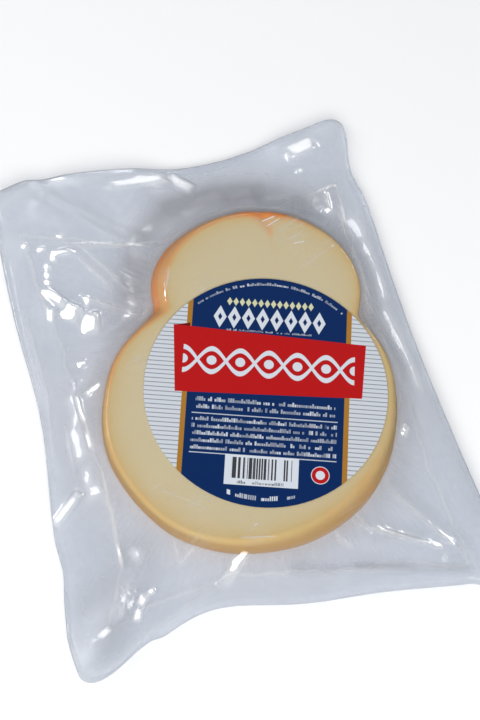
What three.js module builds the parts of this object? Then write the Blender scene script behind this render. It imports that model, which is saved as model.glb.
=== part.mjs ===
// Half a smoked scamorza, sealed under vacuum in a clear pouch with a round paper label on its cut face.
// Millimetres. The pack lies on its back: +Z is up, out of the cut face, and +Y runs to the wide top seal.
// The half is one solid, the pouch is the film that stands out round it, and the label is a thin disc.
import * as THREE from 'three';

const DEGREE = Math.PI / 180;
const TURN = 2 * Math.PI;

// Touching pieces keep this gap.
const GAP = 0.3;

// ---- Driving dimensions -------------------------------------------------------------------------------------------

// The pouch was cut from a web with round corners. Corners go round anticlockwise, seen from above.
const CORNER_RADIUS = 6;
const CORNERS = {
  topRight: [77.6, 110.6],
  topLeft: [-84.2, 104.6],
  bottomLeft: [-89.3, -114.5],
  bottomRight: [92.4, -114.4],
};

// Where the vacuum drew each edge in. `along` is measured in mm from the middle of the edge, in its own direction,
// `depth` is how far the edge moves inwards and `spread` how much of it moves with it.
const SIDES = [
  {
    from: 'topRight',
    to: 'topLeft',
    steps: 26,
    pulls: [
      { along: -17.4, depth: 7.1, spread: 39.2 },
      { along: 91.7, depth: -3.2, spread: 55 },
    ],
  },
  {
    from: 'topLeft',
    to: 'bottomLeft',
    steps: 32,
    pulls: [
      { along: -1, depth: 4, spread: 38 },
      { along: 64.3, depth: 1.5, spread: 8.5 },
      { along: 97.7, depth: -1.6, spread: 17 },
    ],
  },
  {
    from: 'bottomLeft',
    to: 'bottomRight',
    steps: 28,
    pulls: [
      { along: -35.5, depth: 13.9, spread: 32 },
      { along: 20.6, depth: 9.5, spread: 55 },
      { along: -63, depth: 2.4, spread: 5.5 },
    ],
  },
  {
    from: 'bottomRight',
    to: 'topRight',
    steps: 32,
    pulls: [
      { along: -7.5, depth: 4.4, spread: 84.6 },
      { along: 85.3, depth: 2.4, spread: 11 },
    ],
  },
];
const CORNER_STEPS = 4;

// The cut face has the outline of the whole cheese, a body and a head with a waist between them where it hung.
const BODY = { x: 2.3, y: -20, halfWidth: 62.2, halfHeight: 55.8, turn: 20 * DEGREE };
const HEAD = { x: 20.4, y: 31.7, halfWidth: 42.4, halfHeight: 36.3, turn: -14 * DEGREE };
const WAIST_BLEND = 3.5;
// A point inside both lobes, from which every outline is a single turn of rays. Directions are seen from it.
const HUB = { x: 13, y: 8 };
// Where the hung cheese grew a little flatter or fuller than its two lobes.
const UNEVENNESS = [
  { towards: -142 * DEGREE, size: -2.3, spread: 15 * DEGREE },
  { towards: 172 * DEGREE, size: 2.4, spread: 14 * DEGREE },
  { towards: -20 * DEGREE, size: 1.1, spread: 16 * DEGREE },
];

const THICKNESS = 16;
const RIM_ROUNDING = 2.2;
const BELLY_HEIGHT = 7.2;
const FOOT_INSET = 8;
// How far the rind bulges past the cut face: a little all round, and more at the `swells`.
const LEAST_BULGE = 1.2;
const SWELLS = [
  { towards: 132 * DEGREE, size: 4.9, spread: 30 * DEGREE },
  { towards: -75 * DEGREE, size: 4.2, spread: 32 * DEGREE },
  { towards: 72 * DEGREE, size: 2.6, spread: 28 * DEGREE },
];

// The film leaves the rind between these heights, and both webs draw together into one sheet.
const FILM_TOP_AT_RIND = 12.2;
const FILM_FOOT_AT_RIND = 4.2;
const FILM_HALF_THICKNESS = 0.6;
const TENT_WIDTH = 17;
const SHEET_HEIGHT = 5;
const LOWEST_SHEET = 1.3;
// Soft ridges and valleys of the sheet, each along a line from `from` to `to`.
const FOLDS = [
  { from: [-80, 108], to: [-22, 98], rise: 3.6, spread: 11 },
  { from: [-66, 102], to: [-28, 73], rise: -3.0, spread: 8 },
  { from: [-72, 78], to: [-40, 66], rise: 2.2, spread: 9 },
  { from: [0, 103], to: [34, 103], rise: -1.8, spread: 15 },
  { from: [50, 100], to: [74, 106], rise: 4.0, spread: 13 },
  { from: [66, 76], to: [60, 56], rise: 2.4, spread: 8 },
  { from: [-88, -38], to: [-68, -46], rise: 2.4, spread: 8 },
  { from: [-84, -84], to: [-60, -60], rise: -2.2, spread: 11 },
  { from: [-80, -106], to: [-58, -88], rise: 2.6, spread: 8 },
  { from: [52, -58], to: [80, -92], rise: -2.8, spread: 8 },
  { from: [47, -66], to: [76, -102], rise: 2.2, spread: 6 },
  { from: [28, -78], to: [66, -97], rise: 2.4, spread: 7 },
  { from: [80, -30], to: [84, -74], rise: 2.0, spread: 10 },
  { from: [-26, -90], to: [14, -96], rise: -1.6, spread: 9 },
];

const LABEL = { x: 10.5, y: -14.4, radius: 50.8, thickness: 0.3, segments: 96 };

// ---- Helpers ------------------------------------------------------------------------------------------------------

const lerp = THREE.MathUtils.lerp;
const clamp = THREE.MathUtils.clamp;
const smoothstep = THREE.MathUtils.smoothstep;

/** A bell that is 1 at `offset` 0 and falls away over `spread`. */
function bell(offset, spread) {
  return Math.exp(-((offset / spread) ** 2));
}

/** The smallest difference between two directions, in radians. */
function angleBetween(a, b) {
  const difference = (((a - b) % TURN) + TURN) % TURN;
  return Math.min(difference, TURN - difference);
}

/** Distance from the point (x, y) to the segment from `from` to `to`. */
function distanceToSegment(x, y, from, to) {
  const [dx, dy] = [to[0] - from[0], to[1] - from[1]];
  const t = clamp(((x - from[0]) * dx + (y - from[1]) * dy) / (dx * dx + dy * dy), 0, 1);
  return Math.hypot(x - from[0] - t * dx, y - from[1] - t * dy);
}

/** A closed mesh from rings of equal length, with the first and last ring drawn together to a point each. */
function meshFromRings(rings, { closed }) {
  const count = rings[0].length;
  const positions = rings.flat(2);
  const index = [];
  const at = (ring, step) => (ring % rings.length) * count + (step % count);
  const bands = closed ? rings.length : rings.length - 1;
  for (let ring = 0; ring < bands; ring += 1) {
    for (let step = 0; step < count; step += 1) {
      const [a, b, c, d] = [at(ring, step), at(ring, step + 1), at(ring + 1, step + 1), at(ring + 1, step)];
      index.push(a, b, c, a, c, d);
    }
  }
  if (!closed) {
    for (const [ring, flip] of [[0, true], [rings.length - 1, false]]) {
      const tip = positions.length / 3;
      const middle = new THREE.Vector3();
      rings[ring].forEach((point) => middle.add(new THREE.Vector3(...point)));
      positions.push(...middle.divideScalar(count).toArray());
      for (let step = 0; step < count; step += 1) {
        const [a, b] = [at(ring, step), at(ring, step + 1)];
        index.push(...(flip ? [b, a, tip] : [a, b, tip]));
      }
    }
  }
  const geometry = new THREE.BufferGeometry();
  geometry.setAttribute('position', new THREE.Float32BufferAttribute(positions, 3));
  geometry.setIndex(index);
  geometry.computeVertexNormals();
  return geometry;
}

// ---- Outline of the pouch -----------------------------------------------------------------------------------------

/** Points along one corner's arc, from the direction of the edge that comes in to that of the one that leaves. */
function cornerArc(name, before, after) {
  const corner = new THREE.Vector2(...CORNERS[name]);
  const into = new THREE.Vector2(...CORNERS[before]).sub(corner).normalize();
  const out = new THREE.Vector2(...CORNERS[after]).sub(corner).normalize();
  const half = Math.acos(into.dot(out)) / 2;
  const reach = CORNER_RADIUS / Math.sin(half);
  const centre = into.clone().add(out).normalize().multiplyScalar(reach).add(corner);
  const start = into.clone().multiplyScalar(CORNER_RADIUS / Math.tan(half)).add(corner).sub(centre).angle();
  const sweep = Math.PI - 2 * half;
  return Array.from({ length: CORNER_STEPS + 1 }, (_, step) => {
    const angle = start + (sweep * step) / CORNER_STEPS;
    return [centre.x + CORNER_RADIUS * Math.cos(angle), centre.y + CORNER_RADIUS * Math.sin(angle)];
  });
}

/** Points along one edge between its two arcs, drawn in where the vacuum pulled. */
function drawnEdge(side, first, last) {
  const length = Math.hypot(last[0] - first[0], last[1] - first[1]);
  const along = [(last[0] - first[0]) / length, (last[1] - first[1]) / length];
  const inward = [-along[1], along[0]];
  return Array.from({ length: side.steps - 1 }, (_, step) => {
    const travel = (length * (step + 1)) / side.steps;
    const offset = travel - length / 2;
    const pull = side.pulls.reduce((sum, p) => sum + p.depth * bell(offset - p.along, p.spread), 0);
    // Both ends stay where their corner's arc is.
    const hold = smoothstep(Math.min(travel, length - travel), 0, 2 * CORNER_RADIUS);
    return [
      first[0] + along[0] * travel + inward[0] * pull * hold,
      first[1] + along[1] * travel + inward[1] * pull * hold,
    ];
  });
}

/** The pouch's whole outline, anticlockwise from the top right corner. */
function pouchOutline() {
  const arcs = SIDES.map((side, i) => cornerArc(side.from, SIDES[(i + 3) % 4].from, side.to));
  return SIDES.flatMap((side, i) => [...arcs[i], ...drawnEdge(side, arcs[i].at(-1), arcs[(i + 1) % 4][0])]);
}

// ---- Outline of the cheese ----------------------------------------------------------------------------------------

/** About the distance from (x, y) to a lobe's edge, negative inside. */
function lobeLevel(lobe, x, y) {
  const [c, s] = [Math.cos(lobe.turn), Math.sin(lobe.turn)];
  const u = (c * (x - lobe.x) + s * (y - lobe.y)) / lobe.halfWidth;
  const v = (-s * (x - lobe.x) + c * (y - lobe.y)) / lobe.halfHeight;
  return (Math.hypot(u, v) - 1) * Math.min(lobe.halfWidth, lobe.halfHeight);
}

/** Both lobes as one, with the waist filled a little. */
function cheeseLevel(x, y) {
  const [body, head] = [lobeLevel(BODY, x, y), lobeLevel(HEAD, x, y)];
  const fill = Math.max(WAIST_BLEND - Math.abs(body - head), 0);
  return Math.min(body, head) - (fill * fill) / (4 * WAIST_BLEND);
}

/** What the bells of a list add up to in a direction. */
function swelling(bells, direction) {
  return bells.reduce((sum, { towards, size, spread }) =>
    sum + size * bell(angleBetween(direction, towards), spread), 0);
}

/** The cut face's radius from the hub in a direction. */
function faceRadius(direction) {
  let [inside, outside] = [0, 2 * (BODY.halfWidth + HEAD.halfWidth)];
  for (let halving = 0; halving < 40; halving += 1) {
    const middle = (inside + outside) / 2;
    const level = cheeseLevel(HUB.x + middle * Math.cos(direction), HUB.y + middle * Math.sin(direction));
    if (level < 0) inside = middle;
    else outside = middle;
  }
  return inside + swelling(UNEVENNESS, direction);
}

/** How far the rind stands past the cut face at its widest, in a direction. */
function bulge(direction) {
  return LEAST_BULGE + swelling(SWELLS, direction);
}

/** How far the rind stands past the cut face's edge at a height, in a direction. */
function rindOffset(direction, height) {
  if (height >= BELLY_HEIGHT) {
    const rise = (THICKNESS - height) / (THICKNESS - BELLY_HEIGHT);
    const rim = Math.max(height - (THICKNESS - RIM_ROUNDING), 0) / RIM_ROUNDING;
    const rounding = RIM_ROUNDING * (1 - Math.sqrt(1 - rim * rim));
    return bulge(direction) * Math.sin((Math.PI / 2) * rise) - rounding;
  }
  const drop = 1 - height / BELLY_HEIGHT;
  return bulge(direction) - FOOT_INSET * (1 - Math.sqrt(1 - drop * drop));
}

/** A point at a radius from the hub, at a height. */
function fromHub(direction, radius, height) {
  return [HUB.x + radius * Math.cos(direction), HUB.y + radius * Math.sin(direction), height];
}

// ---- Pieces -------------------------------------------------------------------------------------------------------

const OUTLINE = pouchOutline();
const DIRECTIONS = OUTLINE.map(([x, y]) => Math.atan2(y - HUB.y, x - HUB.x));
const FACE_RADII = DIRECTIONS.map(faceRadius);

/** The half cheese: a flat cut face, a bulging rind and a foot that curves in to a flat back. */
function cheeseGeometry() {
  const rimHeights = [0.985, 0.9, 0.7, 0.4, 0].map((share) => THICKNESS - RIM_ROUNDING * (1 - share));
  const sideHeights = [0.72, 0.45, 0.2, 0].map((share) =>
    lerp(BELLY_HEIGHT, THICKNESS - RIM_ROUNDING, share));
  const footHeights = [0.62, 0.33, 0.13, 0.02].map((share) => BELLY_HEIGHT * share);
  const heights = [...rimHeights, ...sideHeights, ...footHeights];
  const ring = (share, height) =>
    DIRECTIONS.map((direction, i) => fromHub(direction, FACE_RADII[i] * share, height));
  const shell = heights.map((height) =>
    DIRECTIONS.map((direction, i) => fromHub(direction, FACE_RADII[i] + rindOffset(direction, height), height)));
  return meshFromRings([
    ...[0.4, 0.8].map((share) => ring(share, THICKNESS)),
    DIRECTIONS.map((direction, i) => fromHub(direction, FACE_RADII[i] - RIM_ROUNDING, THICKNESS)),
    ...shell,
    DIRECTIONS.map((direction, i) => fromHub(direction, FACE_RADII[i] - FOOT_INSET, 0)),
    ring(0.4, 0),
  ].reverse(), { closed: false });
}

/** Height of the middle of the sheet where it lies free. */
function sheetHeight(x, y) {
  const folds = FOLDS.reduce(
    (sum, { from, to, rise, spread }) => sum + rise * bell(distanceToSegment(x, y, from, to), spread), 0);
  return Math.max(SHEET_HEIGHT + folds, LOWEST_SHEET);
}

/** The pouch round the cheese: a wedge where the two webs leave the rind, then one sheet out to the cut edge. */
function pouchGeometry() {
  const wallHeights = [0, 0.3, 0.65, 1].map((share) => lerp(FILM_FOOT_AT_RIND, FILM_TOP_AT_RIND, share));
  const shares = [0.045, 0.1, 0.17, 0.26, 0.37, 0.49, 0.61, 0.73, 0.84, 0.93, 1];
  const wall = (height) => DIRECTIONS.map((direction, i) =>
    fromHub(direction, FACE_RADII[i] + rindOffset(direction, height) + GAP, height));
  const foot = wall(FILM_FOOT_AT_RIND);
  const top = wall(FILM_TOP_AT_RIND);
  const web = (share, side) => OUTLINE.map(([x, y], i) => {
    const start = side > 0 ? top[i] : foot[i];
    const reach = Math.hypot(x - start[0], y - start[1]);
    const away = reach * share;
    const px = lerp(start[0], x, share);
    const py = lerp(start[1], y, share);
    const tent = Math.max(1 - away / Math.min(TENT_WIDTH, 0.8 * reach), 0) ** 2;
    const middle = lerp(sheetHeight(px, py), (FILM_TOP_AT_RIND + FILM_FOOT_AT_RIND) / 2, tent);
    const half = lerp(FILM_HALF_THICKNESS, (FILM_TOP_AT_RIND - FILM_FOOT_AT_RIND) / 2, tent);
    return [px, py, middle + side * half];
  });
  return meshFromRings([
    ...shares.map((share) => web(share, -1)),
    ...shares.toReversed().map((share) => web(share, 1)),
    ...wallHeights.toReversed().map(wall),
  ], { closed: true });
}

/** The round label, lying on the cut face. */
function labelGeometry() {
  return new THREE.CylinderGeometry(LABEL.radius, LABEL.radius, LABEL.thickness, LABEL.segments)
    .rotateX(Math.PI / 2)
    .translate(LABEL.x, LABEL.y, THICKNESS + GAP + LABEL.thickness / 2);
}

function piece(name, geometry, look) {
  const mesh = new THREE.Mesh(geometry, new THREE.MeshStandardMaterial(look));
  mesh.name = name;
  return mesh;
}

const pack = new THREE.Group();
pack.add(
  piece('cheese', cheeseGeometry(), { color: 0xdcc48c, roughness: 0.5, metalness: 0 }),
  piece('pouch', pouchGeometry(), {
    color: 0xc8d0dc, roughness: 0.15, metalness: 0, transparent: true, opacity: 0.45,
  }),
  piece('label', labelGeometry(), { color: 0x16376e, roughness: 0.4, metalness: 0 }),
);

// The origin is under the middle of the pack, on the surface that it lies on.
const extent = new THREE.Box3().setFromObject(pack);
const middle = extent.getCenter(new THREE.Vector3());
pack.position.set(-middle.x, -middle.y, -extent.min.z);
pack.updateMatrixWorld(true);

export default pack;
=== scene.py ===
"""Half a smoked cheese, sealed under vacuum in a clear pouch, with a round printed label on its cut face.

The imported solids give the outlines. Lengths are in millimetres until a mesh is written, in the drawing's
own axes: +Y runs to the pouch's wide top seal, and the label's middle has the place that `LABEL_PLACE`
gives. `Pack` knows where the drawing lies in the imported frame.
"""

from __future__ import annotations

import logging
import math
from collections.abc import Sequence
from dataclasses import dataclass, field
from enum import Enum

import bpy
import numpy as np
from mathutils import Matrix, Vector, noise

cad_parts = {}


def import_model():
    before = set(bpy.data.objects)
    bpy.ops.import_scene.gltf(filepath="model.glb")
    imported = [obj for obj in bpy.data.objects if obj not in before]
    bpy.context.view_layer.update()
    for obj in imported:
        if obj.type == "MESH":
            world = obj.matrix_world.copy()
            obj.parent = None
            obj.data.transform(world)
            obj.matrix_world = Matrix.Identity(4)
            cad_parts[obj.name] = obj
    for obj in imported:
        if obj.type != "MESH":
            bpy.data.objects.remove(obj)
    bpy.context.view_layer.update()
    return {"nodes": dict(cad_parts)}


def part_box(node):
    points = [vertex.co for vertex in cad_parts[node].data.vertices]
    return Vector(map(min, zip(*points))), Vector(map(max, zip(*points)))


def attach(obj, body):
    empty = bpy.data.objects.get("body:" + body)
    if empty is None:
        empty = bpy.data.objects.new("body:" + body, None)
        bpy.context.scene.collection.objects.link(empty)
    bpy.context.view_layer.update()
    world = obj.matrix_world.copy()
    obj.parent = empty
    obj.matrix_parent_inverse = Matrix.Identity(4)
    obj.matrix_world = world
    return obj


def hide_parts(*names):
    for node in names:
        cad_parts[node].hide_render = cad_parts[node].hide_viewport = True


Colour = tuple[float, float, float]
Place = tuple[float, float]

MM = 0.001  # A millimetre, in metres.
LABEL_PLACE: Place = (10.5, -14.4)
LABEL_TURN = math.radians(-17.0)
HUB: Place = (13.0, 8.0)  # Where the rays start, inside the cheese.
NEAR_HUB = 10.0  # The solids' corners within this radius belong to no outline.
FACE_BAND = 0.01  # Corners this close to the cut face's height belong to its rim.
LEAST_TURN = 1e-3  # Corners whose angles differ by less than this are on one ray.
FINER = 6  # How many rays are made of each one that the solids have.

log = logging.getLogger("pack")


class Node(Enum):
    """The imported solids."""

    CHEESE = "cheese"
    POUCH = "pouch"
    LABEL = "label"


class Slot(Enum):
    """The names that the cheese's and the film's materials have. The label keeps its solid."""

    CHEESE = "cheese"
    FILM = "film"


class Web(Enum):
    """The two webs of film, by the side that they face."""

    TOP = 1
    BACK = -1


class Shine(Enum):
    """The lamps that the film's facets are tilted to, by name."""

    LEFT = "upper_left"
    RIGHT = "upper_right"
    REAR = "rear_low"


# ---- Trees of nodes ------------------------------------------------------------------------------


class Wire:
    """One output of a node, with Python's operators on it."""

    def __init__(self, tree: Tree, socket: bpy.types.NodeSocket) -> None:
        """Wraps `socket` of `tree`."""
        self.tree = tree
        self.socket = socket

    def maths(self, operation: str, *others: Wire | float) -> Wire:
        """A Math node on this value and the others."""
        return self.tree.maths(operation, self, *others)

    def __add__(self, other: Wire | float) -> Wire:
        """The sum."""
        return self.maths("ADD", other)

    def __radd__(self, other: float) -> Wire:
        """The sum, with the number first."""
        return self.maths("ADD", other)

    def __sub__(self, other: Wire | float) -> Wire:
        """The difference."""
        return self.maths("SUBTRACT", other)

    def __rsub__(self, other: float) -> Wire:
        """The difference, with the number first."""
        return self.tree.maths("SUBTRACT", other, self)

    def __mul__(self, other: Wire | float) -> Wire:
        """The product."""
        return self.maths("MULTIPLY", other)

    def __rmul__(self, other: float) -> Wire:
        """The product, with the number first."""
        return self.maths("MULTIPLY", other)

    def __truediv__(self, other: Wire | float) -> Wire:
        """The quotient."""
        return self.maths("DIVIDE", other)

    def __rtruediv__(self, other: float) -> Wire:
        """The quotient, with the number on top."""
        return self.tree.maths("DIVIDE", other, self)

    def __pow__(self, other: Wire | float) -> Wire:
        """The power."""
        return self.maths("POWER", other)

    def __neg__(self) -> Wire:
        """The same value with its sign turned."""
        return self.maths("MULTIPLY", -1.0)

    def __abs__(self) -> Wire:
        """The value without its sign."""
        return self.maths("ABSOLUTE")

    def most(self, other: Wire | float) -> Wire:
        """The larger of two values."""
        return self.maths("MAXIMUM", other)

    def least(self, other: Wire | float) -> Wire:
        """The smaller of two values."""
        return self.maths("MINIMUM", other)

    def rise(self, low: float, high: float) -> Wire:
        """A soft step.

        Args:
            low: The value where the step starts from 0.
            high: The value, above `low`, where it reaches 1.

        Returns:
            A value from 0 to 1.
        """
        settings = {"interpolation_type": "SMOOTHSTEP"}
        return self.tree.add("ShaderNodeMapRange", settings, {0: self, 1: low, 2: high, 3: 0.0, 4: 1.0})

    def fall(self, low: float, high: float) -> Wire:
        """A soft step down, from 1 at `low` to 0 at `high`."""
        return 1.0 - self.rise(low, high)


class Tree:
    """A node tree that is filled by calls."""

    def __init__(self, tree: bpy.types.NodeTree) -> None:
        """Wraps `tree` and empties it."""
        self.tree = tree
        tree.nodes.clear()

    def add(
        self,
        kind: str,
        settings: dict[str, object] | None = None,
        inputs: dict[int | str, object] | None = None,
        output: int | str = 0,
    ) -> Wire:
        """Adds one node.

        Args:
            kind: The node's type.
            settings: Its own properties, which are set first.
            inputs: Numbers, colours or wires for its sockets, by index or name.
            output: The output that the wire comes from.

        Returns:
            The wire from that output.
        """
        node = self.tree.nodes.new(kind)
        for name, value in (settings or {}).items():
            setattr(node, name, value)
        for name, value in (inputs or {}).items():
            if isinstance(value, Wire):
                self.tree.links.new(value.socket, node.inputs[name])
            else:
                node.inputs[name].default_value = value
        return Wire(self, node.outputs[output] if node.outputs else None)

    def maths(self, operation: str, *values: Wire | float) -> Wire:
        """A Math node."""
        return self.add("ShaderNodeMath", {"operation": operation}, dict(enumerate(values)))

    def vector(self, x: Wire | float, y: Wire | float, z: Wire | float) -> Wire:
        """Three values as one vector."""
        return self.add("ShaderNodeCombineXYZ", None, {0: x, 1: y, 2: z})

    def parts(self, vector: Wire) -> tuple[Wire, Wire, Wire]:
        """The three values of a vector."""
        split = self.add("ShaderNodeSeparateXYZ", None, {0: vector})
        return tuple(Wire(self, split.socket.node.outputs[i]) for i in range(3))

    def scaled(self, vector: Wire, by: Sequence[float]) -> Wire:
        """A vector times three numbers."""
        return self.add("ShaderNodeVectorMath", {"operation": "MULTIPLY"}, {0: vector, 1: tuple(by)})

    def grain(self, vector: Wire, scale: float, detail: float = 2.0, seed: Wire | float = 0.0) -> Wire:
        """Smooth noise from 0 to 1.

        Args:
            vector: Where it is read.
            scale: Waves in each unit of `vector`.
            detail: How many finer layers it has.
            seed: Which noise it is.

        Returns:
            The noise's value.
        """
        inputs = {"Vector": vector, "W": seed, "Scale": scale, "Detail": detail, "Roughness": 0.5}
        return self.add("ShaderNodeTexNoise", {"noise_dimensions": "4D"}, inputs)

    def toss(self, where: Wire) -> Wire:
        """A random value from 0 to 1, the same for the same place."""
        return self.add("ShaderNodeTexWhiteNoise", {"noise_dimensions": "3D"}, {"Vector": where})

    def cells(self, vector: Wire, scale: float | Wire) -> Wire:
        """How far a point lies from the edges of a cracked pattern's cells.

        Args:
            vector: Where it is read.
            scale: Cells in each unit of `vector`.

        Returns:
            The distance, in cells.
        """
        settings = {"voronoi_dimensions": "3D", "feature": "DISTANCE_TO_EDGE"}
        return self.add("ShaderNodeTexVoronoi", settings, {"Vector": vector, "Scale": scale})

    def blend(self, share: Wire | float, first: Wire | Colour, second: Wire | Colour) -> Wire:
        """A colour between two.

        Args:
            share: How far it is from the first to the second, from 0 to 1.
            first: The colour at 0.
            second: The colour at 1.

        Returns:
            The colour.
        """
        colours = [c if isinstance(c, Wire) else (*c, 1.0) for c in (first, second)]
        settings = {"data_type": "RGBA", "clamp_factor": True}
        return self.add("ShaderNodeMix", settings, {0: share, 6: colours[0], 7: colours[1]}, 2)


class Paint(Tree):
    """A material's tree."""

    def __init__(self, name: str) -> None:
        """Makes an empty material.

        Args:
            name: Its name.
        """
        self.material = bpy.data.materials.new(name)
        self.material.use_nodes = True
        super().__init__(self.material.node_tree)

    def attribute(self, name: str, output: str = "Fac") -> Wire:
        """What a mesh attribute says."""
        return self.add("ShaderNodeAttribute", {"attribute_name": name}, None, output)

    def place(self) -> Wire:
        """The object coordinates, in metres."""
        return self.add("ShaderNodeTexCoord", None, None, "Object")

    def bump(self, height: Wire, distance: float, strength: float = 1.0, under: Wire | None = None) -> Wire:
        """A normal from a height.

        Args:
            height: The height, from 0 to 1.
            distance: How high 1 stands, in metres.
            strength: How much of it is used.
            under: A normal that it is added to.

        Returns:
            The normal.
        """
        inputs = {"Height": height, "Distance": distance, "Strength": strength}
        if under is not None:
            inputs["Normal"] = under
        return self.add("ShaderNodeBump", None, inputs)

    def surface(self, shader: Wire) -> bpy.types.Material:
        """Puts a shader on the surface and gives the finished material."""
        self.add("ShaderNodeOutputMaterial", None, {"Surface": shader})
        return self.material


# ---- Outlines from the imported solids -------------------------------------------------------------


@dataclass(frozen=True)
class Pack:
    """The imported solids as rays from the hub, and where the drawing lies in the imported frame.

    `face`, `belly` and `edge` are the radii of the cut face's rim, of the cheese's widest place and of the
    pouch's cut edge on each of the rays. `shift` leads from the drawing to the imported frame.
    """

    shift: np.ndarray
    thickness: float
    angles: np.ndarray
    face: np.ndarray
    belly: np.ndarray
    edge: np.ndarray

    @classmethod
    def measure(cls, nodes: dict[str, bpy.types.Object]) -> Pack:
        """Reads the outlines.

        Args:
            nodes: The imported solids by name.

        Returns:
            The outlines, on `FINER` times as many rays as the solids have.
        """
        low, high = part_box(Node.LABEL.value)
        middle = (low + high) / 2 / MM
        shift = np.array([middle.x - LABEL_PLACE[0], middle.y - LABEL_PLACE[1], 0.0])
        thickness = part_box(Node.CHEESE.value)[1].z / MM
        cheese = cls._corners(nodes[Node.CHEESE.value], shift)
        pouch = cls._corners(nodes[Node.POUCH.value], shift)
        spread = np.sort(cheese[0])
        rays = spread[np.concatenate([[True], np.diff(spread) > LEAST_TURN])]
        face = cls._furthest(rays, cheese[:, cheese[2] > thickness - FACE_BAND])
        columns = np.array([face, cls._furthest(rays, cheese), cls._furthest(rays, pouch)])
        angles, columns = cls._refine(rays, columns)
        return cls(shift, thickness, angles, *columns)

    @staticmethod
    def _corners(node: bpy.types.Object, shift: np.ndarray) -> np.ndarray:
        """A solid's corners about the hub, without those close to it.

        Args:
            node: The solid.
            shift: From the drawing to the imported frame, in millimetres.

        Returns:
            A row of angles, a row of radii and a row of heights.
        """
        flat = np.empty(3 * len(node.data.vertices), np.float32)
        node.data.vertices.foreach_get("co", flat)
        x, y, z = (flat.reshape(-1, 3) / MM - shift).T
        x, y = x - HUB[0], y - HUB[1]
        corners = np.array([np.arctan2(y, x), np.hypot(x, y), z])
        return corners[:, corners[1] > NEAR_HUB]

    @staticmethod
    def _furthest(rays: np.ndarray, corners: np.ndarray) -> np.ndarray:
        """The outline of some corners.

        Args:
            rays: The angles of the rays.
            corners: Rows of angles, radii and heights.

        Returns:
            The largest radius on each ray.
        """
        turn = corners[0][:, None] - rays
        nearest = np.abs((turn + math.pi) % math.tau - math.pi).argmin(axis=1)
        radius = np.zeros(len(rays))
        np.maximum.at(radius, nearest, corners[1])
        return radius

    @staticmethod
    def _refine(angles: np.ndarray, columns: np.ndarray) -> tuple[np.ndarray, np.ndarray]:
        """Puts finer rays between the solids' own, by smooth cubic pieces through the given values.

        Args:
            angles: The rays' angles, rising.
            columns: Rows of values on these rays.

        Returns:
            The finer rays' angles, and the rows of values on them.
        """
        knots = np.concatenate([angles, [angles[0] + 2 * math.pi]])
        values = np.concatenate([columns, columns[:, :1]], axis=1)
        step = np.diff(knots)
        slope = np.diff(values, axis=1) / step
        before, width = np.roll(slope, 1, axis=1), np.roll(step, 1)
        tangent = (before * step + slope * width) / (step + width)
        after = np.roll(tangent, -1, axis=1)
        share = np.arange(FINER)[:, None] / FINER
        h00, h10 = 2 * share**3 - 3 * share**2 + 1, share**3 - 2 * share**2 + share
        h01, h11 = 3 * share**2 - 2 * share**3, share**3 - share**2
        fine = [
            h00 * v[:-1] + h10 * step * t + h01 * v[1:] + h11 * step * a
            for v, t, a in zip(values, tangent, after)
        ]
        turned = knots[:-1] + share * step
        return turned.T.ravel(), np.array([f.T.ravel() for f in fine])

    def point(self, radius: np.ndarray, height: np.ndarray | float) -> np.ndarray:
        """Points on the rays, in the drawing's millimetres."""
        x, y = HUB[0] + radius * np.cos(self.angles), HUB[1] + radius * np.sin(self.angles)
        return np.stack([x, y, np.broadcast_to(height, x.shape)], axis=1)

    def metres(self, points: np.ndarray) -> np.ndarray:
        """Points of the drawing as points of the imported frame, in metres."""
        return (points + self.shift) * MM


def ring_mesh(name: str, rings: np.ndarray, attributes: dict[str, np.ndarray]) -> bpy.types.Object:
    """A closed skin from rings of equal length, from the middle of the top to the middle of the back.

    Args:
        name: The piece's name.
        rings: The rings' points in metres, with the axes ring, step and coordinate.
        attributes: Values or vectors for the points, with the same first two axes.

    Returns:
        The new object, smooth, with its faces pointing outwards.
    """
    count, steps = rings.shape[:2]
    ring, step = np.meshgrid(np.arange(count - 1), np.arange(steps), indexing="ij")
    a, b = ring * steps + step, ring * steps + (step + 1) % steps
    quads = np.stack([b, a, a + steps, b + steps], axis=-1).reshape(-1, 4)
    tips = count * steps + np.arange(2)
    turn = np.arange(steps)
    last = (count - 1) * steps
    caps = np.concatenate([
        np.stack([turn, (turn + 1) % steps, np.full(steps, tips[0])], axis=1),
        np.stack([last + (turn + 1) % steps, last + turn, np.full(steps, tips[1])], axis=1),
    ])
    points = np.concatenate([rings.reshape(-1, 3), rings[[0, -1]].mean(axis=1)])
    mesh = bpy.data.meshes.new(name)
    mesh.from_pydata(points, [], quads.tolist() + caps.tolist())
    for key, values in attributes.items():
        kind = "FLOAT_VECTOR" if values.ndim == 3 else "FLOAT"
        flat = values.reshape(count * steps, -1)
        ends = values[[0, -1]].mean(axis=1).reshape(2, -1)
        made = mesh.attributes.new(key, kind, "POINT")
        member = "vector" if kind == "FLOAT_VECTOR" else "value"
        made.data.foreach_set(member, np.concatenate([flat, ends]).ravel())
    mesh.shade_smooth()
    piece = bpy.data.objects.new(name, mesh)
    bpy.context.scene.collection.objects.link(piece)
    return piece


def bell(offset: np.ndarray | float, spread: float) -> np.ndarray:
    """A bell that is 1 at `offset` 0 and falls away over `spread`."""
    return np.exp(-((offset / spread) ** 2))


def soft_step(value: np.ndarray, low: float, high: float) -> np.ndarray:
    """A soft step from 0 at `low` to 1 at `high`."""
    share = np.clip((value - low) / (high - low), 0.0, 1.0)
    return share * share * (3.0 - 2.0 * share)


def span(points: np.ndarray, others: np.ndarray | Place) -> np.ndarray:
    """How far points lie from others, seen from above."""
    gap = points[..., :2] - np.asarray(others)[..., :2]
    return np.hypot(gap[..., 0], gap[..., 1])


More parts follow.
